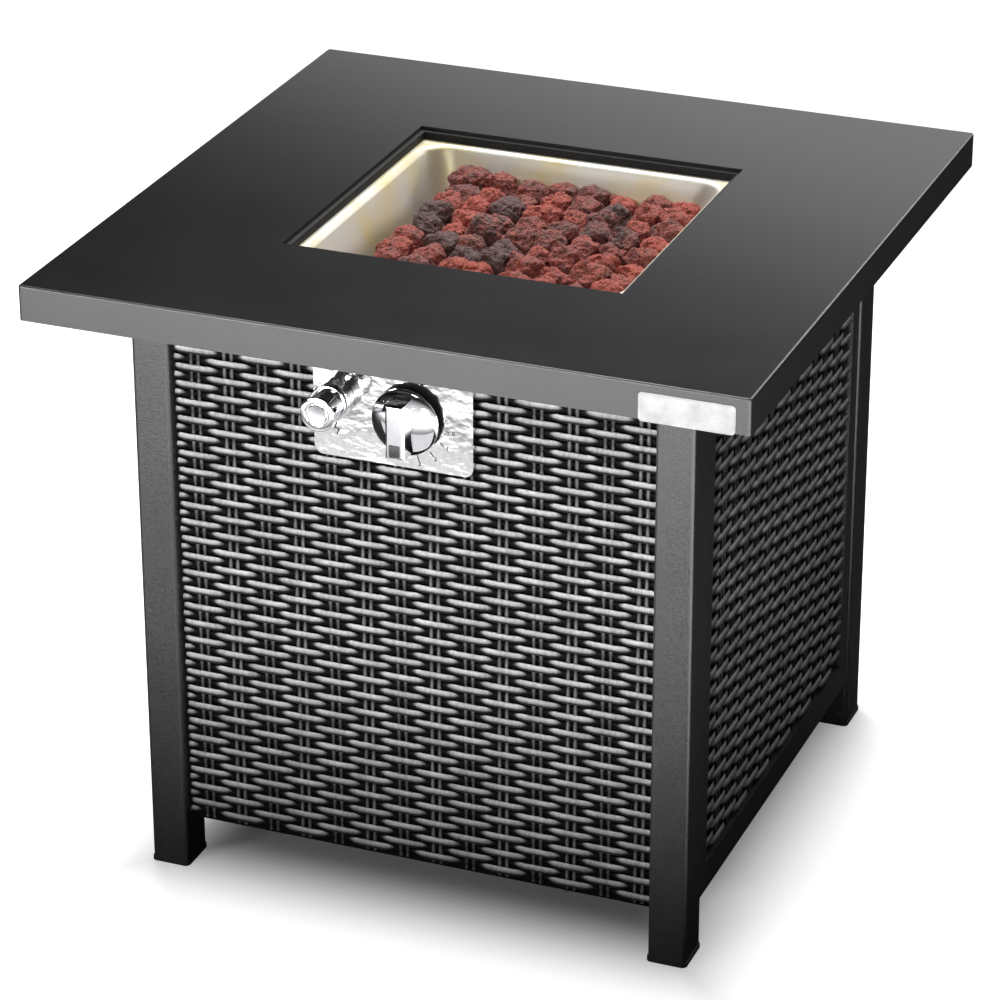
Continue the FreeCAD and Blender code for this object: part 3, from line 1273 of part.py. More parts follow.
def guard_plane(centre):
    """Plane of the pilot guard's face that a rock lies most clearly beyond."""
    half_x, half_y = BRACKET_HALF
    guard_top = BOWL_INNER_FLOOR + BRACKET_SHEET + GUARD_HEIGHT
    faces = [(V(1, 0, 0), half_x), (V(-1, 0, 0), half_x), (V(0, 1, 0), PILOT_Y + half_y),
             (V(0, -1, 0), half_y - PILOT_Y), (UP, guard_top)]
    normal, offset = max(faces, key=lambda face: centre.dot(face[0]) - face[1])
    return normal * -1, -offset - SEAT_GAP


def rock_places(dice):
    """Centres and sizes of the rocks, in jittered layers that leave the left wall bare."""
    places = []
    for lift in ROCK_LIFTS:
        level = BOWL_INNER_FLOOR + lift
        reach = BOWL_FLOOR + (level - BOWL_INNER_FLOOR) * (BOWL_MOUTH - BOWL_FLOOR) / BOWL_DEPTH - ROCK_R[0]
        count = round(2 * reach / ROCK_PITCH) + 1
        for row in range(count):
            for column in range(count):
                radius = dice.uniform(*ROCK_R)
                jitter = [dice.uniform(-ROCK_JITTER, ROCK_JITTER) for _ in range(3)]
                x = (2 * column / (count - 1) - 1) * reach + jitter[0]
                y = (2 * row / (count - 1) - 1) * reach + jitter[1]
                centre = V(max(-reach, min(reach, x)), max(-reach, min(reach, y)), level + jitter[2])
                bare = ROCK_BARE_LEFT * (level - BOWL_INNER_FLOOR) / BOWL_DEPTH
                if burner_plane(centre) and centre.x > bare - reach:
                    places.append((centre, radius))
    return places


def lava_rocks():
    """Loose angular rocks, each cut by the planes where it meets its neighbours and the bowl."""
    dice = random.Random(ROCK_SEED)
    places = rock_places(dice)
    walls = bowl_planes()
    rocks = []
    for centre, radius in places:
        faces = cube_faces(centre, 2 * radius)
        for k in range(ROCK_FACETS):
            height = 1 - 2 * (k + 0.5) / ROCK_FACETS
            angle = 2.4 * k + dice.uniform(-0.5, 0.5)
            level = math.sqrt(1 - height * height)
            way = V(level * math.cos(angle), level * math.sin(angle), height)
            faces = clipped(faces, way, centre.dot(way) + radius * dice.uniform(0.84, 1.04))
        for other, other_radius in places:
            span = other.distanceToPoint(centre)
            if 0 < span < 3 * ROCK_R[1]:
                way = (other - centre).normalize()
                share = (span + (radius ** 2 - other_radius ** 2) / span) / 2
                faces = clipped(faces, way, centre.dot(way) + share - SEAT_GAP / 2)
        for normal, offset in walls + [burner_plane(centre), guard_plane(centre)]:
            faces = clipped(faces, normal, offset)
        shell = Part.makeShell([Part.Face(Part.makePolygon(face + face[:1])) for face in faces])
        rock = Part.Solid(shell)
        if rock.Volume < 0:
            rock.reverse()
        if rock.Volume > ROCK_R[0] ** 3:
            rocks.append(rock)
    return rocks


def build():
    """Make every piece and write one file for each node."""
    os.makedirs("parts", exist_ok=True)
    save("table_top", table_top())
    save("badge_plate", badge_plate())
    for end, sy in (("front", -1), ("rear", 1)):
        for side, sx in (("left", -1), ("right", 1)):
            save("leg_" + end + "_" + side, leg(sx, sy))
    save("feet", *[foot(sx, sy) for sx in (-1, 1) for sy in (-1, 1)])
    save("front_panel", front_panel())
    save("front_wicker", front_wicker())
    for name in ("left", "right"):
        save(name + "_panel", side_panel(name))
        save(name + "_wicker", side_wicker(name))
    save("rear_top_rail", rear_rail(UNDER_TOP - RAIL_HIGH, UNDER_TOP))
    save("rear_bottom_rail", rear_rail(PANEL_LOW, PANEL_LOW + RAIL_LOW))
    frame_screw = screw(M5_R, M5_HEAD, M5_LENGTH)
    save("frame_screws", *[aimed(frame_screw, point - way * PANEL_SHEET, way) for point, way in LEG_SEATS],
         *[aimed(frame_screw, seat, DOWN) for seat in TRAY_SEATS])
    save("stud_nuts", *nuts_at(M5_NUT, M5_R + RUNNING, TOP_SEATS, UNDER_TOP - PANEL_SHEET, DOWN),
         *nuts_at(M5_NUT, M5_R + RUNNING, BOWL_SEATS, BOWL_TOP - BOWL_SHEET, DOWN),
         *nuts_at(M5_NUT, M5_R + RUNNING, SHIELD_SEATS, SHIELD_TOP - SHIELD_SHEET, DOWN))

    save("rear_door", rear_door())
    door_wicker = dish_wicker(DOOR_WIDTH, DOOR_LOW, DOOR_TOP, SIDE_FACE, DOOR_DISH)
    save("rear_wicker", turned(door_wicker, SIDES["rear"]))
    save("door_pins", *door_pins())
    save("door_washers", *door_washers())
    save("door_pull", door_pull())
    save("pull_screw", pull_screw())
    save("door_strike", door_strike())
    save("door_catch", door_catch())
    save("catch_magnet", catch_magnet())
    small_screw = screw(M4_R, M4_HEAD, M4_LENGTH)
    save("small_screws", *[aimed(small_screw, point - way * CATCH_PLATE, way) for point, way in CATCH_SEATS],
         *[aimed(small_screw, at_depth(seat, CONTROL_FACE), BACK) for seat in VALVE_SCREW_SEATS])

    save("base_tray", base_tray())

    save("fire_bowl", fire_bowl())
    save("burner_ring", burner_ring())
    save("burner_nut", burner_nut())
    save("mixer_elbow", mixer_elbow())
    save("air_shutter", air_shutter())
    save("orifice", orifice())
    save("gas_tube", gas_tube())
    save("flare_nuts", *flare_nuts())
    save("heat_shield", heat_shield())
    save("shield_spacers", *[sleeve(SPACER_R, M5_R + HOLE_GAP, seat, seat + DOWN * SHIELD_DROP)
                             for seat in SHIELD_SEATS])

    save("control_panel", control_panel())
    save("control_nuts", *[aimed(nut(M4_NUT, M4_R + RUNNING), at_depth(seat, FRONT_FACE - PANEL_SHEET), BACK)
                           for seat in control_seats()])
    save("valve_body", valve_body())
    save("valve_cap", valve_cap())
    save("valve_plug", valve_plug())
    save("valve_stem", valve_stem())
    save("valve_spring", valve_spring())
    save("inlet_fitting", inlet_fitting())
    save("gas_knob", gas_knob())
    save("knob_set_screw", knob_set_screw())

    save("igniter_housing", igniter_housing())
    save("igniter_button", igniter_button())
    save("igniter_spring", igniter_spring())
    save("igniter_battery", igniter_battery())
    save("igniter_nut", igniter_nut())
    save("igniter_terminals", *igniter_terminals())
    save("igniter_lead", igniter_lead())
    save("electrode_ceramic", electrode_ceramic())
    save("electrode_rod", electrode_rod())
    save("thermocouple", thermocouple())
    save("pilot_guard", pilot_guard())
    save("lava_rocks", *lava_rocks())


build()
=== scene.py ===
# %% [markdown]
# # A gas fire pit table, dressed in Blender
# The table's solids come from its construction model. This lesson gives each of them its real
# finish, and it models by hand what a plain solid can't show: woven wicker, lava rock, chromed
# controls and coil springs. All lengths are metres in the construction model's own frame, with the
# controls facing -Y.

# %% Load the frame
import json
import math
import random
import bmesh
import bpy
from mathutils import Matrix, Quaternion, Vector


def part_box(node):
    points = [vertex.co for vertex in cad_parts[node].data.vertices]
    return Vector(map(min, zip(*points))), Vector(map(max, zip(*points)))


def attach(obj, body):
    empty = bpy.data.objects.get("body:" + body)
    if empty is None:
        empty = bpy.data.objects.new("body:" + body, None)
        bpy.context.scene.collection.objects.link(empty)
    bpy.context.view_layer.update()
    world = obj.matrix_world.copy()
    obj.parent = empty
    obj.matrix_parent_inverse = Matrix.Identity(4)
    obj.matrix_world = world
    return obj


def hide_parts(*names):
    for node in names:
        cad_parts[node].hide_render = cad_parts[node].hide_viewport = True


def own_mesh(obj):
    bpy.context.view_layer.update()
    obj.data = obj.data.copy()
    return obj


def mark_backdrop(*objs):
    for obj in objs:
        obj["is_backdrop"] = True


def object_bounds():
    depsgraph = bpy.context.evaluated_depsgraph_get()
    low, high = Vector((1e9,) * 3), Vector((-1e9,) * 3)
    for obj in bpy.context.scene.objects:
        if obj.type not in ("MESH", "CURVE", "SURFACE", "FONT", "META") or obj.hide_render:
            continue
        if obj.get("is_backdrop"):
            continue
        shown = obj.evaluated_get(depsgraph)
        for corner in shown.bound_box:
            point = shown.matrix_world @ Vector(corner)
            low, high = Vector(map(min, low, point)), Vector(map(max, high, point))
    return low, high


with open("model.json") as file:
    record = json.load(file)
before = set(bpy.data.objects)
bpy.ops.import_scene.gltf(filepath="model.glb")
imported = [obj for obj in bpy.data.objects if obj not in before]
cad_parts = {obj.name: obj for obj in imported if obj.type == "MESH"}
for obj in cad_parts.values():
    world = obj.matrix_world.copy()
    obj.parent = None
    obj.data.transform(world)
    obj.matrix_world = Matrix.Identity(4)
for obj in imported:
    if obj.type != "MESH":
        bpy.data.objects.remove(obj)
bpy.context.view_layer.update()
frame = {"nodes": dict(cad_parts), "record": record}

# %% [markdown]
# Some helpers come first. An operator works on everything that is selected, so a piece is always
# taken up alone. Faces and edges are picked by their direction, because a script has no hand to
# click with.

# %% Helpers for modelling
MM = 0.001


def size_of(node):
    """Lowest and highest corners of a node in millimetres."""
    low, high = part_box(node)
    return [value / MM for value in low], [value / MM for value in high]


def take(piece):
    """Select one piece and nothing else."""
    bpy.ops.object.select_all(action="DESELECT")
    piece.select_set(True)
    bpy.context.view_layer.objects.active = piece
    return piece


def fresh(name):
    """Name the object in hand and fix its place, turn and size in its mesh."""
    piece = take(bpy.context.object)
    piece.name = piece.data.name = name
    bpy.ops.object.transform_apply(location=True, rotation=True, scale=True)
    return piece


def pick_front(piece):
    """In edit mode, select only the faces that look to the front."""
    bpy.ops.mesh.select_all(action="DESELECT")
    mesh = bmesh.from_edit_mesh(piece.data)
    for face in mesh.faces:
        if face.normal.y < -0.9:
            face.select_set(True)
    mesh.select_flush_mode()
    bmesh.update_edit_mesh(piece.data)


def round_corners(piece, radius, segments):
    """Round the edges of a block that run from front to back, by a radius in millimetres."""
    take(piece)
    bpy.ops.object.mode_set(mode="EDIT")
    bpy.ops.mesh.select_all(action="DESELECT")
    bpy.ops.mesh.select_mode(type="EDGE")
    mesh = bmesh.from_edit_mesh(piece.data)
    for edge in mesh.edges:
        if abs(edge.verts[0].co.y - edge.verts[1].co.y) > 0.1 * MM:
            edge.select_set(True)
    bmesh.update_edit_mesh(piece.data)
    bpy.ops.mesh.bevel(offset=radius * MM, segments=segments, affect="EDGES")
    bpy.ops.mesh.select_mode(type="VERT")
    bpy.ops.object.mode_set(mode="OBJECT")


def modify(piece, kind, **settings):
    """Add a modifier with its settings and apply it."""
    take(piece)
    modifier = piece.modifiers.new(kind.title(), kind)
    for name, value in settings.items():
        setattr(modifier, name, value)
    bpy.ops.object.modifier_apply(modifier=modifier.name)


def moved_copy(piece, name, shift):
    """Copy a piece, with a mesh of its own, to another place."""
    take(piece)
    bpy.ops.object.duplicate()
    twin = bpy.context.object
    twin.location = shift
    return fresh(name)


def join(name, pieces):
    """Make several pieces one mesh."""
    take(pieces[0])
    for piece in pieces:
        piece.select_set(True)
    bpy.ops.object.join()
    return fresh(name)


def block(name, middle, sides, degrees=0.0):
    """A box round a middle point, with its sides in millimetres, turned in the plane of the front."""
    bpy.ops.mesh.primitive_cube_add(size=1, location=[value * MM for value in middle],
                                    rotation=(0, math.radians(degrees), 0),
                                    scale=[side * MM for side in sides])
    return fresh(name)


def close_and_smooth(piece, degrees=40):
    """Turn all faces outwards and shade soft edges smooth."""
    take(piece)
    bpy.ops.object.mode_set(mode="EDIT")
    bpy.ops.mesh.select_all(action="SELECT")
    bpy.ops.mesh.remove_doubles(threshold=0.005 * MM)
    bpy.ops.mesh.normals_make_consistent(inside=False)
    bpy.ops.object.mode_set(mode="OBJECT")
    bpy.ops.object.shade_smooth_by_angle(angle=math.radians(degrees))
    return piece


# %% [markdown]
# Most small parts here were made on a lathe, so the next helper works like one. It starts with a
# ring of edges and extrudes it along the part's axis through a list of radii and depths. A bored
# part ends where it started, and its first and last rings are bridged.

# %% A lathe
def lathe(name, axis, profile, bored=False, vertices=64):
    """Turn a part round a front-to-back axis; a profile lists radii and distances in front of y = 0."""
    radius, depth = profile[0]
    bpy.ops.mesh.primitive_circle_add(vertices=vertices, radius=radius * MM, fill_type="NOTHING",
                                      location=(axis[0] * MM, -depth * MM, axis[1] * MM),
                                      rotation=(math.pi / 2, 0, 0))
    piece = fresh(name)
    bpy.ops.object.mode_set(mode="EDIT")
    bpy.ops.mesh.select_all(action="SELECT")
    if not bored:
        bpy.ops.mesh.edge_face_add()
    for (old_radius, old_depth), (radius, depth) in zip(profile, profile[1:]):
        bpy.ops.mesh.extrude_region_move(TRANSFORM_OT_translate={"value": (0, (old_depth - depth) * MM, 0)})
        share = radius / old_radius
        centre = (axis[0] * MM, -depth * MM, axis[1] * MM)
        bpy.ops.transform.resize(value=(share, 1, share), center_override=centre)
    if bored:
        bpy.ops.mesh.select_all(action="SELECT")
        bpy.ops.mesh.region_to_loop()
        bpy.ops.mesh.bridge_edge_loops()
    bpy.ops.object.mode_set(mode="OBJECT")
    return close_and_smooth(piece)


# %% [markdown]
# ## Materials
# A finish is built from nodes on Object coordinates, so it stays on its piece when a door or knob
# moves. Colours are written as on a paint card, in sRGB, and one function turns them into the
# linear values that shaders use. Another adds a node with its settings, and links a socket wherever
# a value is another node's output.

# %% Helpers for materials
def linear(paint):
    """Linear RGBA of an sRGB hex colour."""
    shares = [int(paint[k:k + 2], 16) / 255 for k in (1, 3, 5)]
    return [s / 12.92 if s <= 0.04045 else ((s + 0.055) / 1.055) ** 2.4 for s in shares] + [1.0]


def add(tree, kind, inputs, **settings):
    """Add one node with its settings, values and links."""
    node = tree.nodes.new("ShaderNode" + kind)
    for name, value in settings.items():
        setattr(node, name, value)
    for name, value in inputs.items():
        if isinstance(value, bpy.types.NodeSocket):
            tree.links.new(value, node.inputs[name])
        else:
            node.inputs[name].default_value = value
    return node


def new_finish(name, **sockets):
    """Start a material: its node tree, its shader and the piece's own coordinates."""
    material = bpy.data.materials.new(name)
    material.use_nodes = True
    tree = material.node_tree
    shader = tree.nodes["Principled BSDF"]
    for socket, value in sockets.items():
        shader.inputs[socket.replace("_", " ")].default_value = value
    place = add(tree, "TexCoord", {}).outputs["Object"]
    return material, tree, shader, place


def noise(tree, place, grain_mm, stretch=(1, 1, 1), detail=2.0):
    """Noise whose lumps are about a given size in millimetres, longer along an axis with a small stretch."""
    scaled = add(tree, "Mapping", {"Vector": place, "Scale": [1000 / grain_mm * share for share in stretch]})
    return add(tree, "TexNoise", {"Vector": scaled.outputs[0], "Scale": 1.0, "Detail": detail}).outputs[0]


def blend_colours(tree, factor, low, high, start=0.3, end=0.7):
    """Go from one paint to another as a factor rises from a start to an end."""
    ramp = add(tree, "ValToRGB", {"Fac": factor})
    for stop, at, paint in zip(ramp.color_ramp.elements, (start, end), (low, high)):
        stop.position = at
        stop.color = linear(paint)
    return ramp.outputs["Color"]


def spread(tree, factor, low, high, start=0.3, end=0.7, kind="LINEAR"):
    """Go from a low to a high value as a factor goes from a start to an end."""
    limits = {"Value": factor, "From Min": start, "From Max": end, "To Min": low, "To Max": high}
    return add(tree, "MapRange", limits, interpolation_type=kind).outputs[0]


def relief(tree, shader, height, depth_mm, below=None):
    """Raise the surface by a height factor, over any relief already made."""
    inputs = {"Height": height, "Distance": depth_mm * MM, "Strength": 1.0}
    if below:
        inputs["Normal"] = below
    bump = add(tree, "Bump", inputs).outputs[0]
    tree.links.new(bump, shader.inputs["Normal"])
    return bump


# %% [markdown]
# The frame is steel with a textured powder coat: black polyester powder with a little metal flake,
# sprayed on and baked, that shrinks into a fine grain about a millimetre across. The body is nearly
# black. What looks grey in the photo is its broad gloss, which the flake makes stronger than plain
# resin, so its index of refraction is raised.

# %% Textured powder coat
def powder_coat():
    """Fine-grained black polyester coat on the skirt, legs and panels."""
    material, tree, shader, place = new_finish("textured_powder_coat", IOR=1.7)
    grain = noise(tree, place, 1.5, detail=3.0)
    cloud = noise(tree, place, 60.0)
    mixed = add(tree, "Math", {0: grain, 1: spread(tree, cloud, -0.04, 0.04)}, operation="ADD").outputs[0]
    tree.links.new(blend_colours(tree, mixed, "#161618", "#303032"), shader.inputs["Base Color"])
    tree.links.new(spread(tree, grain, 0.34, 0.5), shader.inputs["Roughness"])
    relief(tree, shader, grain, 0.2)
    return material


# %% [markdown]
# The flat of the table top is the same steel with a smoother satin black enamel. Its body is painted
# darker than the coat's, as shade, so the flat top stays dark. It mirrors the room softly, which gives
# the photo its gradient from black in front to grey behind. Only its broad gloss changes, by a very
# low ripple known as orange peel.

# %% Satin enamel
def satin_enamel():
    """Smooth enamel of the flat top, painted darker than the coat as shade, with a trace of orange peel."""
    material, tree, shader, place = new_finish("satin_enamel_painted_dark")
    peel = noise(tree, place, 7.0)
    dust = noise(tree, place, 0.8)
    wiped = noise(tree, place, 90.0, detail=4.0)
    # Painted shade: this body colour is darker than the coat's, so the flat top stays dark.
    tree.links.new(blend_colours(tree, dust, "#101012", "#161617"), shader.inputs["Base Color"])
    tree.links.new(spread(tree, wiped, 0.19, 0.21), shader.inputs["Roughness"])
    relief(tree, shader, peel, 0.01)
    return material


# %% [markdown]
# Garden wicker is extruded resin. The die leaves fine ridges round each strand, about 2.6 mm apart
# where the strand was wound, and no two runs take quite the same shade of grey. Light and shade are
# painted into the colour as well: the upper side of each strand is painted lighter, as if lit from
# above, and its underside and the depth of the weave are painted dark, as shade. How far a point
# stands proud of the steel behind is stored on the mesh, and the way that its surface faces is known
# to the shader.

# %% Resin wicker
def resin_wicker():
    """Grey polyethylene strand, with painted light on top and painted shade below and deep in the weave."""
    material, tree, shader, place = new_finish("resin_wicker", Specular_IOR_Level=0.15)
    shade = noise(tree, place, 24.0)
    streak = noise(tree, place, 2.6, stretch=(1, 1, 0.12), detail=3.0)
    both = add(tree, "Math", {0: shade, 1: spread(tree, streak, -0.2, 0.2)}, operation="ADD").outputs[0]
    strand = blend_colours(tree, both, "#a9a9ab", "#e6e6e8", 0.2, 0.8)
    proud = add(tree, "Attribute", {}, attribute_name="proud").outputs["Fac"]
    facing = add(tree, "TexCoord", {}).outputs["Normal"]
    up = add(tree, "SeparateXYZ", {"Vector": facing}).outputs["Z"]
    # Painted shade: the colour goes dark with the depth of the weave, where shade falls.
    depth_shade_and_dullness = spread(tree, proud, 0.0, 1.0, 0.42, 0.66)
    # Painted light: the colour goes lighter where the surface faces up, as if lit from above.
    painted_top_light = spread(tree, up, 0.02, 1.0, -0.3, 0.8)
    painted_weave_shade = add(tree, "Math", {0: depth_shade_and_dullness, 1: painted_top_light}, operation="MULTIPLY").outputs[0]
    colour = add(tree, "Mix", {0: painted_weave_shade, 6: linear("#080809"), 7: strand}, data_type="RGBA").outputs[2]
    tree.links.new(colour, shader.inputs["Base Color"])
    gloss = spread(tree, streak, 0.36, 0.5)
    dull = add(tree, "Mix", {0: depth_shade_and_dullness, 2: 0.9, 3: gloss}, data_type="FLOAT").outputs[0]
    tree.links.new(dull, shader.inputs["Roughness"])
    relief(tree, shader, streak, 0.7)
    return material


# %% [markdown]
# Bare metals share one recipe. A metal has no body colour, only a tinted reflection, so its
# character lies in how rough it is and which way it was worked: a grain that is long along one axis
# reads as brushed or drawn.

# %% Bare metals
def metal(name, dark, light, roughness, grain_mm=1.0, stretch=(1, 1, 1), depth_mm=0.01):
    """Bare metal: a tinted reflection, a worked grain in its gloss, and a little soiling."""
    material, tree, shader, place = new_finish(name, Metallic=1.0)
    grain = noise(tree, place, grain_mm, stretch)
    soil = noise(tree, place, 14.0, detail=4.0)
    tree.links.new(blend_colours(tree, soil, dark, light), shader.inputs["Base Color"])
    tree.links.new(spread(tree, grain, roughness * 0.8, roughness * 1.3), shader.inputs["Roughness"])
    relief(tree, shader, grain, depth_mm)
    return material


def polished_steel():
    """Thin polished sheet that is never quite flat, so what it mirrors turns into wavy streaks."""
    material, tree, shader, place = new_finish("polished_steel_sheet", Metallic=1.0)
    wave = noise(tree, place, 30.0, stretch=(0.8, 1, 1.3), detail=3.2)
    soil = noise(tree, place, 5.0, detail=4.0)
    tree.links.new(blend_colours(tree, soil, "#dedede", "#f2f2f1"), shader.inputs["Base Color"])
    tree.links.new(spread(tree, soil, 0.05, 0.1), shader.inputs["Roughness"])
    relief(tree, shader, wave, 1.6)
    return material


def brushed_stainless():
    """Brushed bowl steel with a straw-coloured heat tint in clouds."""
    material, tree, shader, place = new_finish("brushed_stainless_steel", Metallic=0.7)
    brush = noise(tree, place, 1.2, stretch=(0.04, 1, 1), detail=3.0)
    heat = noise(tree, place, 55.0, detail=3.0)
    tree.links.new(blend_colours(tree, heat, "#e0ddd3", "#e2d3a0", 0.42, 0.72), shader.inputs["Base Color"])
    tree.links.new(spread(tree, brush, 0.4, 0.56), shader.inputs["Roughness"])
    relief(tree, shader, brush, 0.02)
    return material


# %% [markdown]
# The non-metals are mouldings and ceramics. Their body colour is even, so a fine noise in colour,
# gloss and relief is enough: moulded nylon has a spark-eroded grain, silicone is dull, alumina is
# glazed and pitted.

# %% Mouldings and ceramics
def moulded(name, dark, light, roughness, grain_mm=0.6, depth_mm=0.02, **sockets):
    """Moulded or fired body with a fine grain."""
    material, tree, shader, place = new_finish(name, **sockets)
    grain = noise(tree, place, grain_mm, detail=3.0)
    tree.links.new(blend_colours(tree, grain, dark, light), shader.inputs["Base Color"])
    tree.links.new(spread(tree, grain, roughness * 0.85, roughness * 1.2), shader.inputs["Roughness"])
    relief(tree, shader, grain, depth_mm)
    return material


# %% [markdown]
# Lava rock is scoria: red iron-oxide foam with pores from a pinprick to a few millimetres. The
# pores are cells of a Voronoi texture; their pits are sunk by the relief and darkened in colour as a
# painted shade. Each rock also gets a tone of its own, stored on its mesh, from brick red to the grey
# of rocks that were burnt longer.

# %% Scoria
def scoria():
    """Porous red-brown lava rock whose tone follows the value stored on each rock."""
    material, tree, shader, place = new_finish("red_scoria", Roughness=0.9, Specular_IOR_Level=0.25)
    tone = add(tree, "Attribute", {}, attribute_name="tone").outputs["Fac"]
    patch = noise(tree, place, 9.0, detail=5.0)
    mixed = add(tree, "Math", {0: tone, 1: spread(tree, patch, -0.3, 0.3)}, operation="ADD").outputs[0]
    body = blend_colours(tree, mixed, "#705c5a", "#b26054", 0.1, 0.9)
    pore_mm = 2.2
    cells = add(tree, "Mapping", {"Vector": place, "Scale": [1000 / pore_mm] * 3}).outputs[0]
    pores = add(tree, "TexVoronoi", {"Vector": cells, "Scale": 1.0}).outputs["Distance"]
    # Painted shade: the colour is darkened in the pits of the pores.
    dark = blend_colours(tree, pores, "#2c1a18", "#ffffff", 0.1, 0.5)
    colour = add(tree, "Mix", {6: body, 7: dark, 0: 0.85}, data_type="RGBA", blend_type="MULTIPLY").outputs[2]
    tree.links.new(colour, shader.inputs["Base Color"])
    rough = relief(tree, shader, pores, 1.2)
    relief(tree, shader, noise(tree, place, 1.1, detail=4.0), 0.5, below=rough)
    return material


# %% [markdown]
# Each node of the construction model names a slot, which stands for what it is made of. Here every
# slot gets its finish, with the colours of the real stock, and every node is painted.

# %% Every finish by its slot
finishes = {
    "black_powder_coat": powder_coat(),
    "grey_wicker": resin_wicker(),
    "bare_plate": metal("anodised_aluminium", "#8e8e8e", "#a2a2a2", 0.46, 0.5, (0.05, 1, 1)),
    "polished_steel": polished_steel(),
    "chrome_trim": metal("bright_chrome", "#dedfe2", "#ededf0", 0.06, 6.0, depth_mm=0.0),
    "stainless_sheet": brushed_stainless(),
    "zinc_fastener": metal("zinc_plated_steel", "#a9adb2", "#c9ccd0", 0.32, 0.8),
    "yellow_brass": metal("machined_brass", "#b08d45", "#cbab63", 0.26, 0.6, (1, 0.1, 1)),
    "cast_valve": metal("cast_aluminium", "#a4a5a6", "#bdbebf", 0.5, 1.2, depth_mm=0.08),
    "drawn_aluminium": metal("drawn_aluminium", "#c3c4c5", "#d8d9da", 0.3, 1.0, (1, 0.05, 1)),
    "black_nylon": moulded("black_nylon", "#1b1b1c", "#262627", 0.55),
    "ferrite": moulded("ferrite_ceramic", "#2b2b2d", "#3a3a3c", 0.6, 0.9, 0.05),
    "battery_jacket": moulded("printed_battery_jacket", "#3d434c", "#4a515b", 0.3, 2.0, 0.0),
    "lead_insulation": moulded("red_silicone", "#8e2019", "#a02a20", 0.6, 1.0),
    "white_ceramic": moulded("glazed_alumina", "#e6e3da", "#f2f0ea", 0.2, 1.5, 0.01),
    "lava_rock": scoria(),
}
for part in frame["record"]["subparts"]:
    mesh = frame["nodes"][part["node"]].data
    mesh.materials.clear()
    mesh.materials.append(finishes[part["material_slot"]])

# %% [markdown]
# A piece made by hand is dressed the same way: it takes a finish, rides on a body, and stands for
# the nodes that it replaces.

# %% Dressing a new piece
def dress(piece, body, slot, *replaced):
    """Give a new piece its finish, the body that it rides on and the nodes that it stands for."""
    piece.data.materials.clear()
    piece.data.materials.append(finishes[slot])
    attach(piece, body)
    if replaced:
        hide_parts(*replaced)
    print(piece.name, len(piece.data.polygons), "faces")


# %% [markdown]
# The table top is one pressed sheet, so its node keeps its mesh. Only its faces are sorted: those
# that lie flat at the top height take the smoother enamel, the walls and ledge of the opening take a
# near-black finish that paints the shade in the opening, and the skirt and its edges keep the textured
# coat.

# %% Three finishes on the top
top = frame["nodes"]["table_top"].data
top.materials.append(satin_enamel())
# Painted shade: a near-black finish for the walls and ledge of the opening.
top.materials.append(moulded("painted_shade_in_opening", "#060606", "#0d0d0d", 0.75, 1.2, 0.05))
flat_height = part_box("table_top")[1].z - 0.05 * MM
OPENING_REACH = 173 * MM
for face in top.polygons:
    if face.center.z > flat_height and face.normal.z > 0.999:
        face.material_index = 1
    elif max(abs(face.center.x), abs(face.center.y)) < OPENING_REACH:
        face.material_index = 2
counts = [sum(face.material_index == k for face in top.polygons) for k in range(3)]
print(counts, "faces of the top are coated, enamelled and shade_painted")

# %% [markdown]
# The steel behind each wicker mat has the same coat, but it lies in the depth of the weave, where
# little light comes. Its faces there lie where the mat's back is. They take a dull black, which paints
# that shade into their colour.

# %% Painted shade behind the mats
# A near-black finish that paints the shade in the depth of the weave.
behind = moulded("painted_shade_behind_mats", "#050505", "#0a0a0a", 0.9, 1.5, Specular_IOR_Level=0.1)
for node, wicker, outwards in (("front_panel", "front_wicker", Vector((0, -1, 0))),
                               ("right_panel", "right_wicker", Vector((1, 0, 0))),
                               ("left_panel", "left_wicker", Vector((-1, 0, 0))),
                               ("rear_door", "rear_wicker", Vector((0, 1, 0)))):
    panel = frame["nodes"][node].data
    panel.materials.append(behind)
    mat_back = min(corner.dot(outwards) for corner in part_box(wicker))
    shaded = [face for face in panel.polygons
              if face.normal.dot(outwards) > 0.99 and abs(face.center.dot(outwards) - mat_back) < 0.3 * MM]
    for face in shaded:
        face.material_index = 1
    print(node, len(shaded), "faces behind the mat")

# %% [markdown]
# ## The wicker
# The mat is a plain weave round stakes that stand in pairs. A strand passes in front of one pair,
# where it swells to a spindle, and behind the next. The rows between do the opposite. So one short
# run of strand, two pitches long, holds the whole pattern: it is modelled once, as a ring of eight
# edges that is extruded and resized station by station, and array modifiers repeat it across and
# down. The repeats share their end rings, so every strand is one unbroken tube until its ends are
# cut at the mat's edge.

# %% A run of strand
PITCH = 34.5
ROW = 9.0
MAT = 6.5
STATIONS = 16
# Depth of the middle, half depth and half height: behind a pair, and what is added in front.
BEHIND, SWELL = (1.2, 0.9, 1.5), (3.1, 1.2, 2.3)
FULL_TO, FADE_OVER = 0.32, 0.5


def strand_section(along):
    """Depth of the strand's middle, half depth and half height at a distance from its crossing."""
    share = min(max((abs(along) / PITCH - FULL_TO) / FADE_OVER, 0.0), 1.0)
    out = 1 - share * share * (3 - 2 * share)
    return [thin + more * part for thin, more, part in zip(BEHIND, SWELL, (out, out, out ** 0.6))]


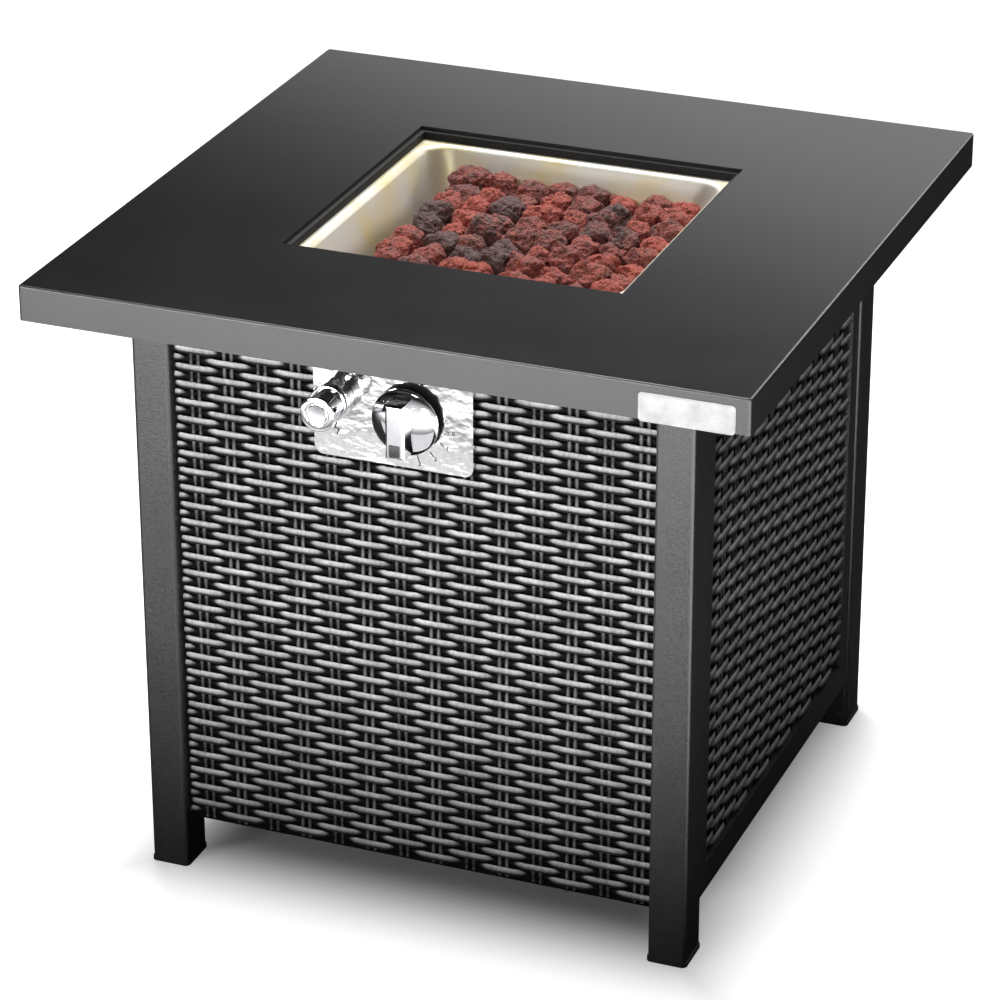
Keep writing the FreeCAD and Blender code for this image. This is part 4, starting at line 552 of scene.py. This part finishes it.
def strand_run(centre, height):
    """A strand over one pair of stakes, from behind the pair before it to behind the next."""
    depth, half_depth, half_height = strand_section(-PITCH)
    bpy.ops.mesh.primitive_circle_add(vertices=8, radius=MM, rotation=(0, math.pi / 2, 0))
    run = fresh("strand")
    bpy.ops.object.mode_set(mode="EDIT")
    bpy.ops.mesh.select_all(action="SELECT")
    bpy.ops.transform.resize(value=(1, half_depth, half_height), center_override=(0, 0, 0))
    bpy.ops.transform.translate(value=((centre - PITCH) * MM, -depth * MM, height * MM))
    for k in range(1, STATIONS + 1):
        along = PITCH * (2 * k / STATIONS - 1)
        new_depth, new_half_depth, new_half_height = strand_section(along)
        step = (2 * PITCH / STATIONS * MM, (depth - new_depth) * MM, 0)
        bpy.ops.mesh.extrude_region_move(TRANSFORM_OT_translate={"value": step})
        middle = ((centre + along) * MM, -new_depth * MM, height * MM)
        growth = (1, new_half_depth / half_depth, new_half_height / half_height)
        bpy.ops.transform.resize(value=growth, center_override=middle)
        depth, half_depth, half_height = new_depth, new_half_depth, new_half_height
    bpy.ops.object.mode_set(mode="OBJECT")
    return run


def repeat(piece, count, step):
    """Repeat a piece at a fixed step, with shared ends merged."""
    modify(piece, "ARRAY", count=count, use_relative_offset=False, use_constant_offset=True,
           constant_offset_displace=step, use_merge_vertices=True, merge_threshold=0.01 * MM)


def trim(piece, limit, outwards):
    """Cut a piece at a limit along an axis, drop what lies beyond and cap the cut."""
    take(piece)
    bpy.ops.object.mode_set(mode="EDIT")
    bpy.ops.mesh.select_all(action="SELECT")
    cut = [abs(share) * limit * MM for share in outwards]
    bpy.ops.mesh.bisect(plane_co=cut, plane_no=outwards, use_fill=True, clear_outer=True)
    bpy.ops.object.mode_set(mode="OBJECT")


# %% [markdown]
# A span is a rectangle of weave. Its rows and columns fall on one lattice for the whole mat, so
# that the spans beside the control panel carry on the pattern of the one below it. A row whose
# strand reaches past the top of its span is cut there, like the one that meets the lower edge of
# the control panel.

# %% Rows and stakes of a span
ROW_MARGIN = 2.5
STAKE_APART = 3.7
STAKE_HALF = (2.2, 1.6)
STAKE_DEPTH = 2.1
STAKE_SWAY = 0.35
STAKE_SIDES = 6


def lattice(low, high, start, step):
    """Numbers and places of the lattice lines between two limits."""
    first = math.ceil((low - start) / step)
    last = math.floor((high - start) / step)
    return [(k, start + k * step) for k in range(first, last + 1)]


def woven_rows(left, right, low, high, column, row):
    """All strands of a span: the rows of one parity, then those of the other."""
    made = []
    for parity in (0, 1):
        heights = [height for k, height in lattice(low, high, row, ROW) if k % 2 == parity]
        if heights:
            # The first crossing lies left of the span, on a column line of this parity.
            first = math.floor((left - column) / PITCH)
            first -= (first - parity) % 2
            runs = math.ceil((right - column - (first - 1) * PITCH) / (2 * PITCH))
            strand = strand_run(column + first * PITCH, heights[0])
            repeat(strand, runs, (2 * PITCH * MM, 0, 0))
            trim(strand, left, (-1, 0, 0))
            trim(strand, right, (1, 0, 0))
            repeat(strand, len(heights), (0, 0, 2 * ROW * MM))
            trim(strand, high, (0, 0, 1))
            made.append(strand)
    return made


def stake(low, high):
    """One upright stake that sways a little in and out as the rows press on it."""
    foot = (0, -STAKE_DEPTH * MM, low * MM)
    bpy.ops.mesh.primitive_circle_add(vertices=STAKE_SIDES, radius=MM, fill_type="NGON", location=foot)
    piece = fresh("stake")
    bpy.ops.object.mode_set(mode="EDIT")
    bpy.ops.mesh.select_all(action="SELECT")
    bpy.ops.transform.resize(value=(*STAKE_HALF, 1), center_override=foot)
    count = round((high - low) / (ROW / 2))
    rise = (high - low) / count * MM
    before = 0.0
    for k in range(1, count + 1):
        sway = STAKE_SWAY * math.sin(math.pi * k / 2) * MM
        bpy.ops.mesh.extrude_region_move(TRANSFORM_OT_translate={"value": (0, sway - before, rise)})
        before = sway
    bpy.ops.object.mode_set(mode="OBJECT")
    return piece


def stakes(left, right, low, high, column):
    """Two stakes either side of each column line."""
    made = []
    first = stake(low, high)
    for _, middle in lattice(left - STAKE_APART, right + STAKE_APART, column, PITCH):
        for x in (middle - STAKE_APART, middle + STAKE_APART):
            if left + STAKE_HALF[0] < x < right - STAKE_HALF[0]:
                made.append(moved_copy(first, "stake", (x * MM, 0, 0)))
    bpy.data.objects.remove(first)
    return made


def woven_mat(name, spans, column, row, face, degrees):
    """Weave every span, seat the mat on its steel face and turn it to its side of the table."""
    made = []
    for left, right, low, high in spans:
        made += woven_rows(left, right, low, high, column, row)
        made += stakes(left, right, low, high, column)
    mat = close_and_smooth(join(name, made), 75)
    proud = mat.data.attributes.new("proud", "FLOAT", "POINT")
    proud.data.foreach_set("value", [-corner.co.y / (MAT * MM) for corner in mat.data.vertices])
    mat.location.y = -face * MM
    fresh(name)
    mat.rotation_euler.z = math.radians(degrees)
    return fresh(name)


# %% [markdown]
# The front mat leaves a notch for the control panel, so it is woven in four spans: below the panel,
# left and right of it, and one short span for the row that the panel's lower edge cuts. The other
# three mats are single spans, woven as if for the front and then turned.

# %% The four mats
mat_low, mat_high = size_of("front_wicker")
plate_low, plate_high = size_of("control_panel")
FRONT_COLUMN, FIRST_ROW = -185.8, 528.8
CUT_ROW = 6
PLATE_GAP = 0.4
left, right, notch_low = plate_low[0] - PLATE_GAP, plate_high[0] + PLATE_GAP, plate_low[2] - PLATE_GAP
below_cut_row = FIRST_ROW - (CUT_ROW + 0.5) * ROW
front_spans = [(mat_low[0], mat_high[0], mat_low[2] + ROW_MARGIN, below_cut_row),
               (left, right, below_cut_row, notch_low),
               (mat_low[0], left, below_cut_row, mat_high[2]),
               (right, mat_high[0], below_cut_row, mat_high[2])]
front_weave = woven_mat("front_weave", front_spans, FRONT_COLUMN, FIRST_ROW, -mat_high[1], 0)
dress(front_weave, "root", "grey_wicker", "front_wicker")

OTHER_MATS = (("right", "root", 1, 90), ("left", "root", 1, 270), ("rear", "door", 0, 180))
for side, body, along, degrees in OTHER_MATS:
    low, high = size_of(side + "_wicker")
    inner = min(abs(low[1 - along]), abs(high[1 - along]))
    span = (low[along], high[along], low[2] + ROW_MARGIN, high[2])
    weave = woven_mat(side + "_weave", [span], 0.0, FIRST_ROW, inner, degrees)
    dress(weave, body, "grey_wicker", side + "_wicker")

# %% [markdown]
# ## The lava rocks
# The construction model has each rock as a lump with flat cuts where it meets its neighbours. A
# copy of that mesh is split into its lumps. Each is remeshed, its corners are rubbed down, and two
# displacements give it the big hollows and the small broken pores of scoria. The rocks that no one
# can see under the top layer get a coarser mesh.

# %% Split, rub down and break up the rocks
dice = random.Random(11)
take(frame["nodes"]["lava_rocks"])
bpy.ops.object.duplicate()
heap = take(bpy.context.object)
heap.parent = None
bpy.ops.object.mode_set(mode="EDIT")
bpy.ops.mesh.select_all(action="SELECT")
bpy.ops.mesh.remove_doubles(threshold=0.01 * MM)
bpy.ops.mesh.separate(type="LOOSE")
bpy.ops.object.mode_set(mode="OBJECT")
lumps = sorted(bpy.context.selected_objects, key=lambda lump: tuple(lump.data.vertices[0].co))

hollows = bpy.data.textures.new("hollows", "CLOUDS")
hollows.noise_scale = 13 * MM
hollows.noise_depth = 2
broken = bpy.data.textures.new("broken_pores", "VORONOI")
broken.noise_scale = 4.5 * MM

SEEN_ABOVE = 585 * MM
FINE, COARSE = 1.6 * MM, 3.0 * MM
BURNT_SHARE = 0.12
layers = {"upper_rocks_left": [], "upper_rocks_right": [], "lower_rocks": []}
for lump in lumps:
    corners = [corner.co for corner in lump.data.vertices]
    middle = sum(corners, Vector()) / len(corners)
    seen = middle.z > SEEN_ABOVE
    modify(lump, "REMESH", mode="VOXEL", voxel_size=FINE if seen else COARSE)
    modify(lump, "SMOOTH", factor=0.8, iterations=7 if seen else 3)
    modify(lump, "DISPLACE", texture=hollows, texture_coords="LOCAL", strength=7 * MM, mid_level=0.56)
    if seen:
        modify(lump, "DISPLACE", texture=broken, texture_coords="LOCAL", strength=3 * MM, mid_level=0.5)
    tone = lump.data.attributes.new("tone", "FLOAT", "POINT")
    shade = dice.uniform(0.25, 1.0) if dice.random() > BURNT_SHARE else 0.0
    tone.data.foreach_set("value", [shade] * len(lump.data.vertices))
    group = "lower_rocks"
    if seen:
        group = "upper_rocks_left" if middle.x < 15 * MM else "upper_rocks_right"
    layers[group].append(lump)
for number, (name, group) in enumerate(layers.items()):
    rocks = join(name, group)
    bpy.ops.object.shade_smooth_by_angle(angle=math.radians(60))
    dress(rocks, "root", "lava_rock", *(["lava_rocks"] if number == 0 else []))

# %% [markdown]
# ## The controls
# The gas knob is chromed zinc: a domed round skirt with a bevelled grip bar across it. The skirt is
# turned on the lathe helper. The bar starts as a block, its front edges are cut back at 45 degrees,
# and a small bevel modifier catches the light along every edge, as a polished casting does. The
# flat back of the knob is black nylon.

# %% The gas knob
knob_low, knob_high = size_of("gas_knob")
knob_axis = ((knob_low[0] + knob_high[0]) / 2, (knob_low[2] + knob_high[2]) / 2)
knob_back, knob_front = -knob_high[1], -knob_low[1]
KNOB_R, KNOB_RIM, KNOB_DOME = 33.0, 3.0, 7.5
profile = [(KNOB_R - 2, knob_back), (KNOB_R - 0.5, knob_back + 0.3), (KNOB_R, knob_back + 0.9),
           (KNOB_R, knob_back + KNOB_RIM - 0.8)]
for k in range(11):
    reach = math.cos(math.radians(9 * k)) ** 0.9
    rise = KNOB_DOME * (1 - reach ** 2) ** 0.8
    profile.append(((KNOB_R - 0.5) * max(reach, 0.04), knob_back + KNOB_RIM + rise))
skirt = lathe("knob_skirt", knob_axis, profile, vertices=96)

GRIP_WIDTH, GRIP_HEIGHT, GRIP_BEVEL = 19.0, 54.0, 2.2
grip_back = knob_back + 1
grip = block("knob_grip", (knob_axis[0], -(grip_back + knob_front) / 2, knob_axis[1]),
             (GRIP_WIDTH, knob_front - grip_back, GRIP_HEIGHT))
bpy.ops.object.mode_set(mode="EDIT")
pick_front(grip)
bpy.ops.mesh.region_to_loop()
bpy.ops.mesh.bevel(offset=GRIP_BEVEL * MM, segments=1, affect="EDGES")
bpy.ops.object.mode_set(mode="OBJECT")
modify(grip, "BEVEL", width=0.5 * MM, segments=3, limit_method="ANGLE", angle_limit=math.radians(20))
DIMPLE_RISE, DIMPLE_R = 15, 1.1
dimple_at = (knob_axis[0] * MM, -knob_front * MM, (knob_axis[1] + DIMPLE_RISE) * MM)
bpy.ops.mesh.primitive_uv_sphere_add(segments=24, ring_count=12, radius=DIMPLE_R * MM, location=dimple_at)
dimple = fresh("dimple")
modify(grip, "BOOLEAN", object=dimple, operation="DIFFERENCE")
bpy.data.objects.remove(dimple)
knob = join("knob_body", [skirt, grip])
close_and_smooth(knob, 30)
modify(knob, "WEIGHTED_NORMAL", keep_sharp=True)
dress(knob, "knob", "chrome_trim", "gas_knob")
knob.data.materials.append(finishes["black_nylon"])
for face in knob.data.polygons:
    if face.normal.y > 0.7 and face.center.y > -(knob_back + 0.5) * MM:
        face.material_index = 1

# %% [markdown]
# The grip's lower end carries a dark index, so that a hand can tell from the front which way the
# knob points. It is a thin moulded pad, let halfway into the chrome, with rounded corners and a
# soft edge.

# %% The knob's index
INDEX_SIDES, INDEX_DROP = (11.0, 0.5, 12.0), 18.5
index = block("knob_index", (knob_axis[0], -knob_front, knob_axis[1] - INDEX_DROP), INDEX_SIDES)
round_corners(index, radius=1.2, segments=4)
modify(index, "BEVEL", width=0.12 * MM, segments=2, limit_method="ANGLE", angle_limit=math.radians(50))
dress(close_and_smooth(index), "knob", "black_nylon")

# %% [markdown]
# The igniter has a fixed bezel and a push button that slides in it. Both are turned: real ones have
# a rolled front edge, a thin groove, and on the button's end a raised ring round a shallow dish.

# %% The igniter
bezel_low, bezel_high = size_of("igniter_housing")
button_low, button_high = size_of("igniter_button")
igniter_axis = ((bezel_low[0] + bezel_high[0]) / 2, (bezel_low[2] + bezel_high[2]) / 2)
plate_face = -plate_low[1]
bezel_front, tube_rear = -bezel_low[1], -bezel_high[1]
BEZEL_R, BORE_R, TUBE_R, CELL_R = 18.5, 15.55, 12.0, 7.35
wall = tube_rear + 3.0
housing = lathe("igniter_bezel", igniter_axis, [
    (CELL_R, wall), (CELL_R, plate_face + 3), (BORE_R, plate_face + 3), (BORE_R, bezel_front - 0.7),
    (BORE_R + 0.7, bezel_front), (BEZEL_R - 1.2, bezel_front), (BEZEL_R - 0.35, bezel_front - 0.35),
    (BEZEL_R, bezel_front - 1.2), (BEZEL_R, bezel_front - 5), (BEZEL_R - 0.6, bezel_front - 5.3),
    (BEZEL_R - 0.6, bezel_front - 6.2), (BEZEL_R, bezel_front - 6.5), (BEZEL_R, plate_face + 0.8),
    (BEZEL_R - 0.8, plate_face), (TUBE_R, plate_face), (TUBE_R, tube_rear + 0.6), (TUBE_R - 0.6, tube_rear),
    (1.0, tube_rear), (1.0, wall)], bored=True)
dress(housing, "root", "chrome_trim", "igniter_housing")

button_back, tip = -button_high[1], -button_low[1]
BUTTON_R, RIM_R, RIM = 15.5, 17.0, 3.0
button = lathe("igniter_cap", igniter_axis, [
    (BUTTON_R - 0.5, button_back), (BUTTON_R, button_back + 0.5), (BUTTON_R, tip - RIM - 0.4),
    (BUTTON_R + 0.4, tip - RIM), (RIM_R - 0.4, tip - RIM), (RIM_R, tip - RIM + 0.4), (RIM_R, tip - 0.9),
    (RIM_R - 0.3, tip - 0.3), (RIM_R - 0.9, tip), (12.3, tip), (12.0, tip - 0.5), (11.4, tip - 0.8),
    (10.0, tip - 0.8), (9.6, tip - 0.5), (9.2, tip - 0.1), (5.0, tip - 0.35), (0.5, tip - 0.45)])
dress(button, "button", "chrome_trim", "igniter_button")

# %% [markdown]
# Behind the knob and the button sit return springs, which the construction model has as plain
# sleeves. A spring is a small ring of wire carried round and along an axis by the screw modifier,
# and its two cut ends are filled. Each spring moves with its knob or button, and has a mesh of its
# own.

# %% Return springs
def coil(name, axis, node, wire, turns):
    """Wind a spring of round wire that fills a sleeve's length and outer width."""
    low, high = size_of(node)
    reach = (high[0] - low[0]) / 2 - wire / 2
    length = high[1] - low[1] - wire
    bpy.ops.mesh.primitive_circle_add(vertices=10, radius=wire / 2 * MM, location=(reach * MM, 0, 0))
    piece = fresh(name)
    modify(piece, "SCREW", axis="Y", screw_offset=length / turns * MM, iterations=turns, steps=28)
    piece.location = (axis[0] * MM, (low[1] + wire / 2) * MM, axis[1] * MM)
    fresh(name)
    bpy.ops.object.mode_set(mode="EDIT")
    bpy.ops.mesh.select_all(action="DESELECT")
    bpy.ops.mesh.select_mode(type="EDGE")
    bpy.ops.mesh.select_non_manifold()
    bpy.ops.mesh.edge_face_add()
    bpy.ops.object.mode_set(mode="OBJECT")
    return close_and_smooth(piece)


def fit_spring(spring, body, node):
    """Hang a spring on its moving body, with a mesh of its own."""
    dress(spring, body, "zinc_fastener", node)
    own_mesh(spring)


stem_spring = coil("stem_spring", knob_axis, "valve_spring", wire=1.1, turns=3)
fit_spring(stem_spring, "knob", "valve_spring")
button_spring = coil("button_spring", igniter_axis, "igniter_spring", wire=1.6, turns=2)
fit_spring(button_spring, "button", "igniter_spring")

# %% [markdown]
# ## The plates
# The badge is a stamped plate with a raised rim. Its front face is inset and pushed back. It stays
# bare.

# %% The badge plate
badge_low, badge_high = size_of("badge_plate")
BADGE_RIM, BADGE_STEP = 1.1, 0.25
badge = block("badge", [(a + b) / 2 for a, b in zip(badge_low, badge_high)],
              [b - a for a, b in zip(badge_low, badge_high)])
round_corners(badge, radius=4, segments=8)
bpy.ops.object.mode_set(mode="EDIT")
pick_front(badge)
bpy.ops.mesh.inset(thickness=BADGE_RIM * MM)
bpy.ops.mesh.inset(thickness=BADGE_STEP * MM)
bpy.ops.transform.translate(value=(0, BADGE_STEP * MM, 0))
bpy.ops.object.mode_set(mode="OBJECT")
modify(badge, "BEVEL", width=0.12 * MM, segments=2, limit_method="ANGLE", angle_limit=math.radians(25))
close_and_smooth(badge, 35)
modify(badge, "WEIGHTED_NORMAL", keep_sharp=True)
dress(badge, "root", "bare_plate", "badge_plate")

# %% [markdown]
# The control panel gets printed marks that need no words: a spark under the igniter, and beside the
# knob a row of ticks that grow towards high, numbered as on any dial. They are flat shapes a
# twentieth of a millimetre proud of the plate, and they reach a little way into it.

# %% Printed marks
INK, INK_BELOW = 0.05, 0.04
SPARK_AT = (-72.0, 504.0)
SPARK_SCALE = 1.3
TICKS_R, DIGITS_R = 39.5, 45.5


def bar(name, x, z, width, height, degrees):
    """A flat printed bar on the control panel, turned in its plane."""
    middle = (x, -(plate_face + (INK - INK_BELOW) / 2), z)
    return block(name, middle, (width, INK + INK_BELOW, height), degrees)


marks = []
for x, z, height, degrees in ((-1.0, 2.2, 5.4, 24), (0.0, 0.0, 3.6, -68), (1.0, -2.2, 5.4, 24)):
    marks.append(bar("stroke", SPARK_AT[0] + SPARK_SCALE * x, SPARK_AT[1] + SPARK_SCALE * z,
                     1.4, SPARK_SCALE * height, degrees))
for number, degrees in enumerate((-100, -122, -144, -166)):
    turn = math.radians(degrees)
    x, z = knob_axis[0] - TICKS_R * math.sin(turn), knob_axis[1] + TICKS_R * math.cos(turn)
    marks.append(bar("tick", x, z, 1.2, 3.4 + 1.2 * number, -degrees))
    x, z = knob_axis[0] - DIGITS_R * math.sin(turn), knob_axis[1] + DIGITS_R * math.cos(turn)
    bpy.ops.object.text_add(location=(x * MM, -plate_face * MM, z * MM), rotation=(math.pi / 2, 0, 0))
    digit = bpy.context.object
    digit.data.body = str(number)
    digit.data.size = 5.4 * MM
    digit.data.offset = 0.2 * MM
    digit.data.align_x, digit.data.align_y = "CENTER", "CENTER"
    digit.data.extrude = INK * MM
    bpy.ops.object.convert(target="MESH")
    marks.append(fresh("digit"))
printed = join("printed_marks", marks)
dress(close_and_smooth(printed), "root", "polished_steel")
printed.data.materials[0] = moulded("black_print", "#161616", "#1e1e1e", 0.5, 0.4, 0.0)

# %% [markdown]
# ## Camera, light and floor
# The camera stands where the photo was taken from: its place, aim and lens were solved from the
# table's corners.

# %% The camera
CAMERA_AT = Vector((1.3426, -3.4323, 2.0700))
CAMERA_AIM = Vector((-0.01886, -0.00021, 0.31739))
CAMERA_ROLL = -0.11
LENS = 147.26
camera = bpy.data.objects.new("camera", bpy.data.cameras.new("camera"))
camera.data.lens = LENS
camera.location = CAMERA_AT
camera.rotation_mode = "QUATERNION"
level = (CAMERA_AIM - CAMERA_AT).to_track_quat("-Z", "Y")
camera.rotation_quaternion = level @ Quaternion((0, 0, 1), math.radians(CAMERA_ROLL))
bpy.context.scene.collection.objects.link(camera)
bpy.context.scene.camera = camera
print("camera", round((CAMERA_AIM - CAMERA_AT).length, 2), "m from the table, lens", LENS, "mm")

# %% [markdown]
# The main soft light is in front, a little to the left and low, so the front is bright and the top
# stays black. A smaller one in front strikes the right side at a low angle and draws out its weave.
# A weak narrow one reaches over the front edge to the rear wall of the bowl. The large one above
# lights the rocks, the bowl and the floor.

# %% Soft lights
def soft_light(name, place, aim, width, height, power, spread_degrees=180):
    """Rectangular studio light: places and sizes in metres, power in watts."""
    lamp = bpy.data.lights.new(name, "AREA")
    lamp.shape = "RECTANGLE"
    lamp.size, lamp.size_y = width, height
    lamp.energy = power
    lamp.spread = math.radians(spread_degrees)
    holder = bpy.data.objects.new(name, lamp)
    holder.location = place
    holder.rotation_mode = "QUATERNION"
    holder.rotation_quaternion = (Vector(aim) - Vector(place)).to_track_quat("-Z", "Y")
    bpy.context.scene.collection.objects.link(holder)
    print(name, power, "W")


soft_light("front_light", (-0.8, -2.2, 0.6), (0, -0.3, 0.4), 1.2, 0.4, 10, 75)
soft_light("edge_light", (0.6, -2.5, 0.5), (0.25, -0.2, 0.45), 0.5, 0.4, 6, 75)
soft_light("bowl_light", (0, -1.6, 1.5), (0, 0.16, 0.6), 0.3, 0.3, 0.2, 30)
soft_light("top_light", (-0.35, 0.8, 2.3), (0, 0, 0.4), 1.3, 1.3, 64)

# %% [markdown]
# The world is white to the camera. In reflections it is white in front of the table near the
# horizon, and dark above, behind and far to the left, so chrome shows a white lower half under a
# black upper one. It lights everything else with an even dim grey.

# %% The world
AMBIENT = 0.045
world = bpy.data.worlds.new("studio")
bpy.context.scene.world = world
world.use_nodes = True
sky = world.node_tree
sky_rays = add(sky, "LightPath", {}).outputs
direction = add(sky, "TexCoord", {}).outputs["Generated"]
compass = add(sky, "SeparateXYZ", {"Vector": direction}).outputs
low_down = spread(sky, compass["Z"], 1.0, 0.03, 0.0, 0.3)
in_front = spread(sky, compass["Y"], 1.0, 0.05, -0.3, 0.3)
not_left = spread(sky, compass["X"], 0.05, 1.0, -0.6, -0.35)
facing = add(sky, "Math", {0: not_left, 1: in_front}, operation="MULTIPLY").outputs[0]
room = add(sky, "Math", {0: low_down, 1: facing}, operation="MULTIPLY").outputs[0]
mirror_rays = {0: sky_rays["Is Glossy Ray"], 1: sky_rays["Is Transmission Ray"]}
mirror = add(sky, "Math", mirror_rays, operation="MAXIMUM").outputs[0]
dim = add(sky, "Mix", {"Factor": mirror, "A": AMBIENT, "B": room}, data_type="FLOAT").outputs[0]
seen = {"Factor": sky_rays["Is Camera Ray"], "A": dim, "B": 1.0}
strength = add(sky, "Mix", seen, data_type="FLOAT").outputs[0]
background = sky.nodes["Background"]
background.inputs["Color"].default_value = linear("#ffffff")
sky.links.new(strength, background.inputs["Strength"])
print("the world has", len(sky.nodes), "nodes")

# %% [markdown]
# A pale paper floor takes the table's shadow. For the camera it is brighter than for the light that
# it throws back, and it glows white a short way out from under the table, so it reads as white and
# keeps its shadow. In the steel, which mirrors it, it glows in two places only: far in front, which
# fades the legs towards their feet, and at the right of the front, which draws a bright line on the
# leg's corner.

# %% The floor
bpy.ops.mesh.primitive_plane_add(size=14)
floor = fresh("floor")
paper, tree, shader, place = new_finish("floor_paper", Roughness=0.9, Specular_IOR_Level=0.1)
rays = add(tree, "LightPath", {}).outputs
fibre = blend_colours(tree, noise(tree, place, 3.0), "#909090", "#969696")
dimmed = add(tree, "Mix", {0: rays["Is Camera Ray"], 6: linear("#3c3c3c"), 7: fibre}, data_type="RGBA")
tree.links.new(dimmed.outputs[2], shader.inputs["Base Color"])
axes = add(tree, "SeparateXYZ", {"Vector": place}).outputs
sideways = add(tree, "Math", {0: axes["X"]}, operation="ABSOLUTE").outputs[0]
lengthways = add(tree, "Math", {0: axes["Y"]}, operation="ABSOLUTE").outputs[0]
away = add(tree, "Math", {0: sideways, 1: lengthways}, operation="MAXIMUM").outputs[0]
white = spread(tree, away, 0.0, 1.0, 0.2, 0.37, "SMOOTHSTEP")

ahead = spread(tree, axes["Y"], 0.0, 1.0, -0.55, -1.55)
fade = add(tree, "Math", {0: ahead, 1: 3.0}, operation="POWER").outputs[0]
not_far_left = spread(tree, axes["X"], 0.0, 1.9, -1.9, -1.5, "SMOOTHSTEP")
ahead_glow = add(tree, "Math", {0: fade, 1: not_far_left}, operation="MULTIPLY").outputs[0]
right = spread(tree, axes["X"], 0.0, 5.0, 0.5, 0.85, "SMOOTHSTEP")
forward = spread(tree, axes["Y"], 0.0, 1.0, -0.1, -0.4, "SMOOTHSTEP")
right_glow = add(tree, "Math", {0: right, 1: forward}, operation="MULTIPLY").outputs[0]
glow = add(tree, "Math", {0: ahead_glow, 1: right_glow}, operation="MAXIMUM").outputs[0]
for_camera = add(tree, "Math", {0: rays["Is Camera Ray"], 1: white}, operation="MULTIPLY").outputs[0]
for_steel = add(tree, "Math", {0: rays["Is Glossy Ray"], 1: glow}, operation="MULTIPLY").outputs[0]
both = add(tree, "Math", {0: for_camera, 1: for_steel}, operation="ADD").outputs[0]
shader.inputs["Emission Color"].default_value = linear("#ffffff")
tree.links.new(both, shader.inputs["Emission Strength"])
lighter = {0: rays["Is Camera Ray"], 6: linear("#000000"), 7: linear("#a0a0a0")}
camera_paint = add(tree, "Mix", lighter, data_type="RGBA").outputs[2]
for_camera_only = add(tree, "BsdfDiffuse", {"Color": camera_paint}).outputs[0]
whole = add(tree, "AddShader", {0: shader.outputs[0], 1: for_camera_only}).outputs[0]
tree.links.new(whole, tree.nodes["Material Output"].inputs["Surface"])
floor.data.materials.append(paper)
print("the floor's paper has", len(tree.nodes), "nodes")

# %% [markdown]
# Four boards stand round the table, none of them seen by the camera. Behind it hangs a card that
# fades from white to black: the satin top mirrors it, and it lights the rear. Two white boards are
# seen only by surfaces that shine. The lower half of the knob's dome mirrors the one below it in
# front, and the right edge of the top draws a bright line from the one behind it. A low black one
# in front, a flag, keeps light off the feet and the floor.

# %% Boards
def board(name, place, width, height, finish):
    """An upright board that faces the table, of a size in metres and out of the camera's sight."""
    bpy.ops.mesh.primitive_plane_add(size=1, location=place, rotation=(math.pi / 2, 0, 0))
    bpy.context.object.scale = (width, height, 1)
    piece = fresh(name)
    piece.data.materials.append(finish)
    piece.visible_camera = False
    return piece


def lit_paper(name, glow):
    """Black paper that gives off white light, as strong as a number or a node's output says."""
    material, tree, shader, place = new_finish(name, Roughness=1.0)
    shader.inputs["Base Color"].default_value = linear("#000000")
    shader.inputs["Emission Color"].default_value = linear("#ffffff")
    shader.inputs["Emission Strength"].default_value = glow
    return material, tree, shader, place


faded, tree, shader, place = lit_paper("reflection_card", 1.0)
axes = add(tree, "SeparateXYZ", {"Vector": place}).outputs
level = add(tree, "Math", {0: axes["X"], 1: -0.25, 2: axes["Z"]}, operation="MULTIPLY_ADD").outputs[0]
gleam = spread(tree, level, 1.15, 0.01, 1.0, 1.45, "SMOOTHSTEP")
tree.links.new(gleam, shader.inputs["Emission Strength"])
card = board("reflection_card", (-0.4, 1.3, 1.45), 3.6, 1.3, faded)

bounce = board("bounce_board", (-0.07, -0.5, 0.19), 0.46, 0.38, lit_paper("bounce_board", 0.9)[0])
edge_board = board("edge_board", (0.85, 1.0, 1.2), 0.7, 0.5, lit_paper("edge_board", 9.0)[0])
for piece in (bounce, edge_board):
    piece.visible_diffuse = piece.visible_shadow = False

flag = board("flag", (0, -1.2, 0.165), 3.0, 0.33, moulded("black_felt", "#050505", "#090909", 0.95))
flag.visible_glossy = False
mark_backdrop(floor, card, bounce, edge_board, flag)
print("staged", floor.name, card.name, bounce.name, edge_board.name, flag.name)

# %% [markdown]
# The view transform is the plain one, so a colour renders about as it is written.

bpy.context.scene.view_settings.view_transform = "Standard"
low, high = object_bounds()
print("visual size", [round(1000 * side) for side in high - low], "mm")
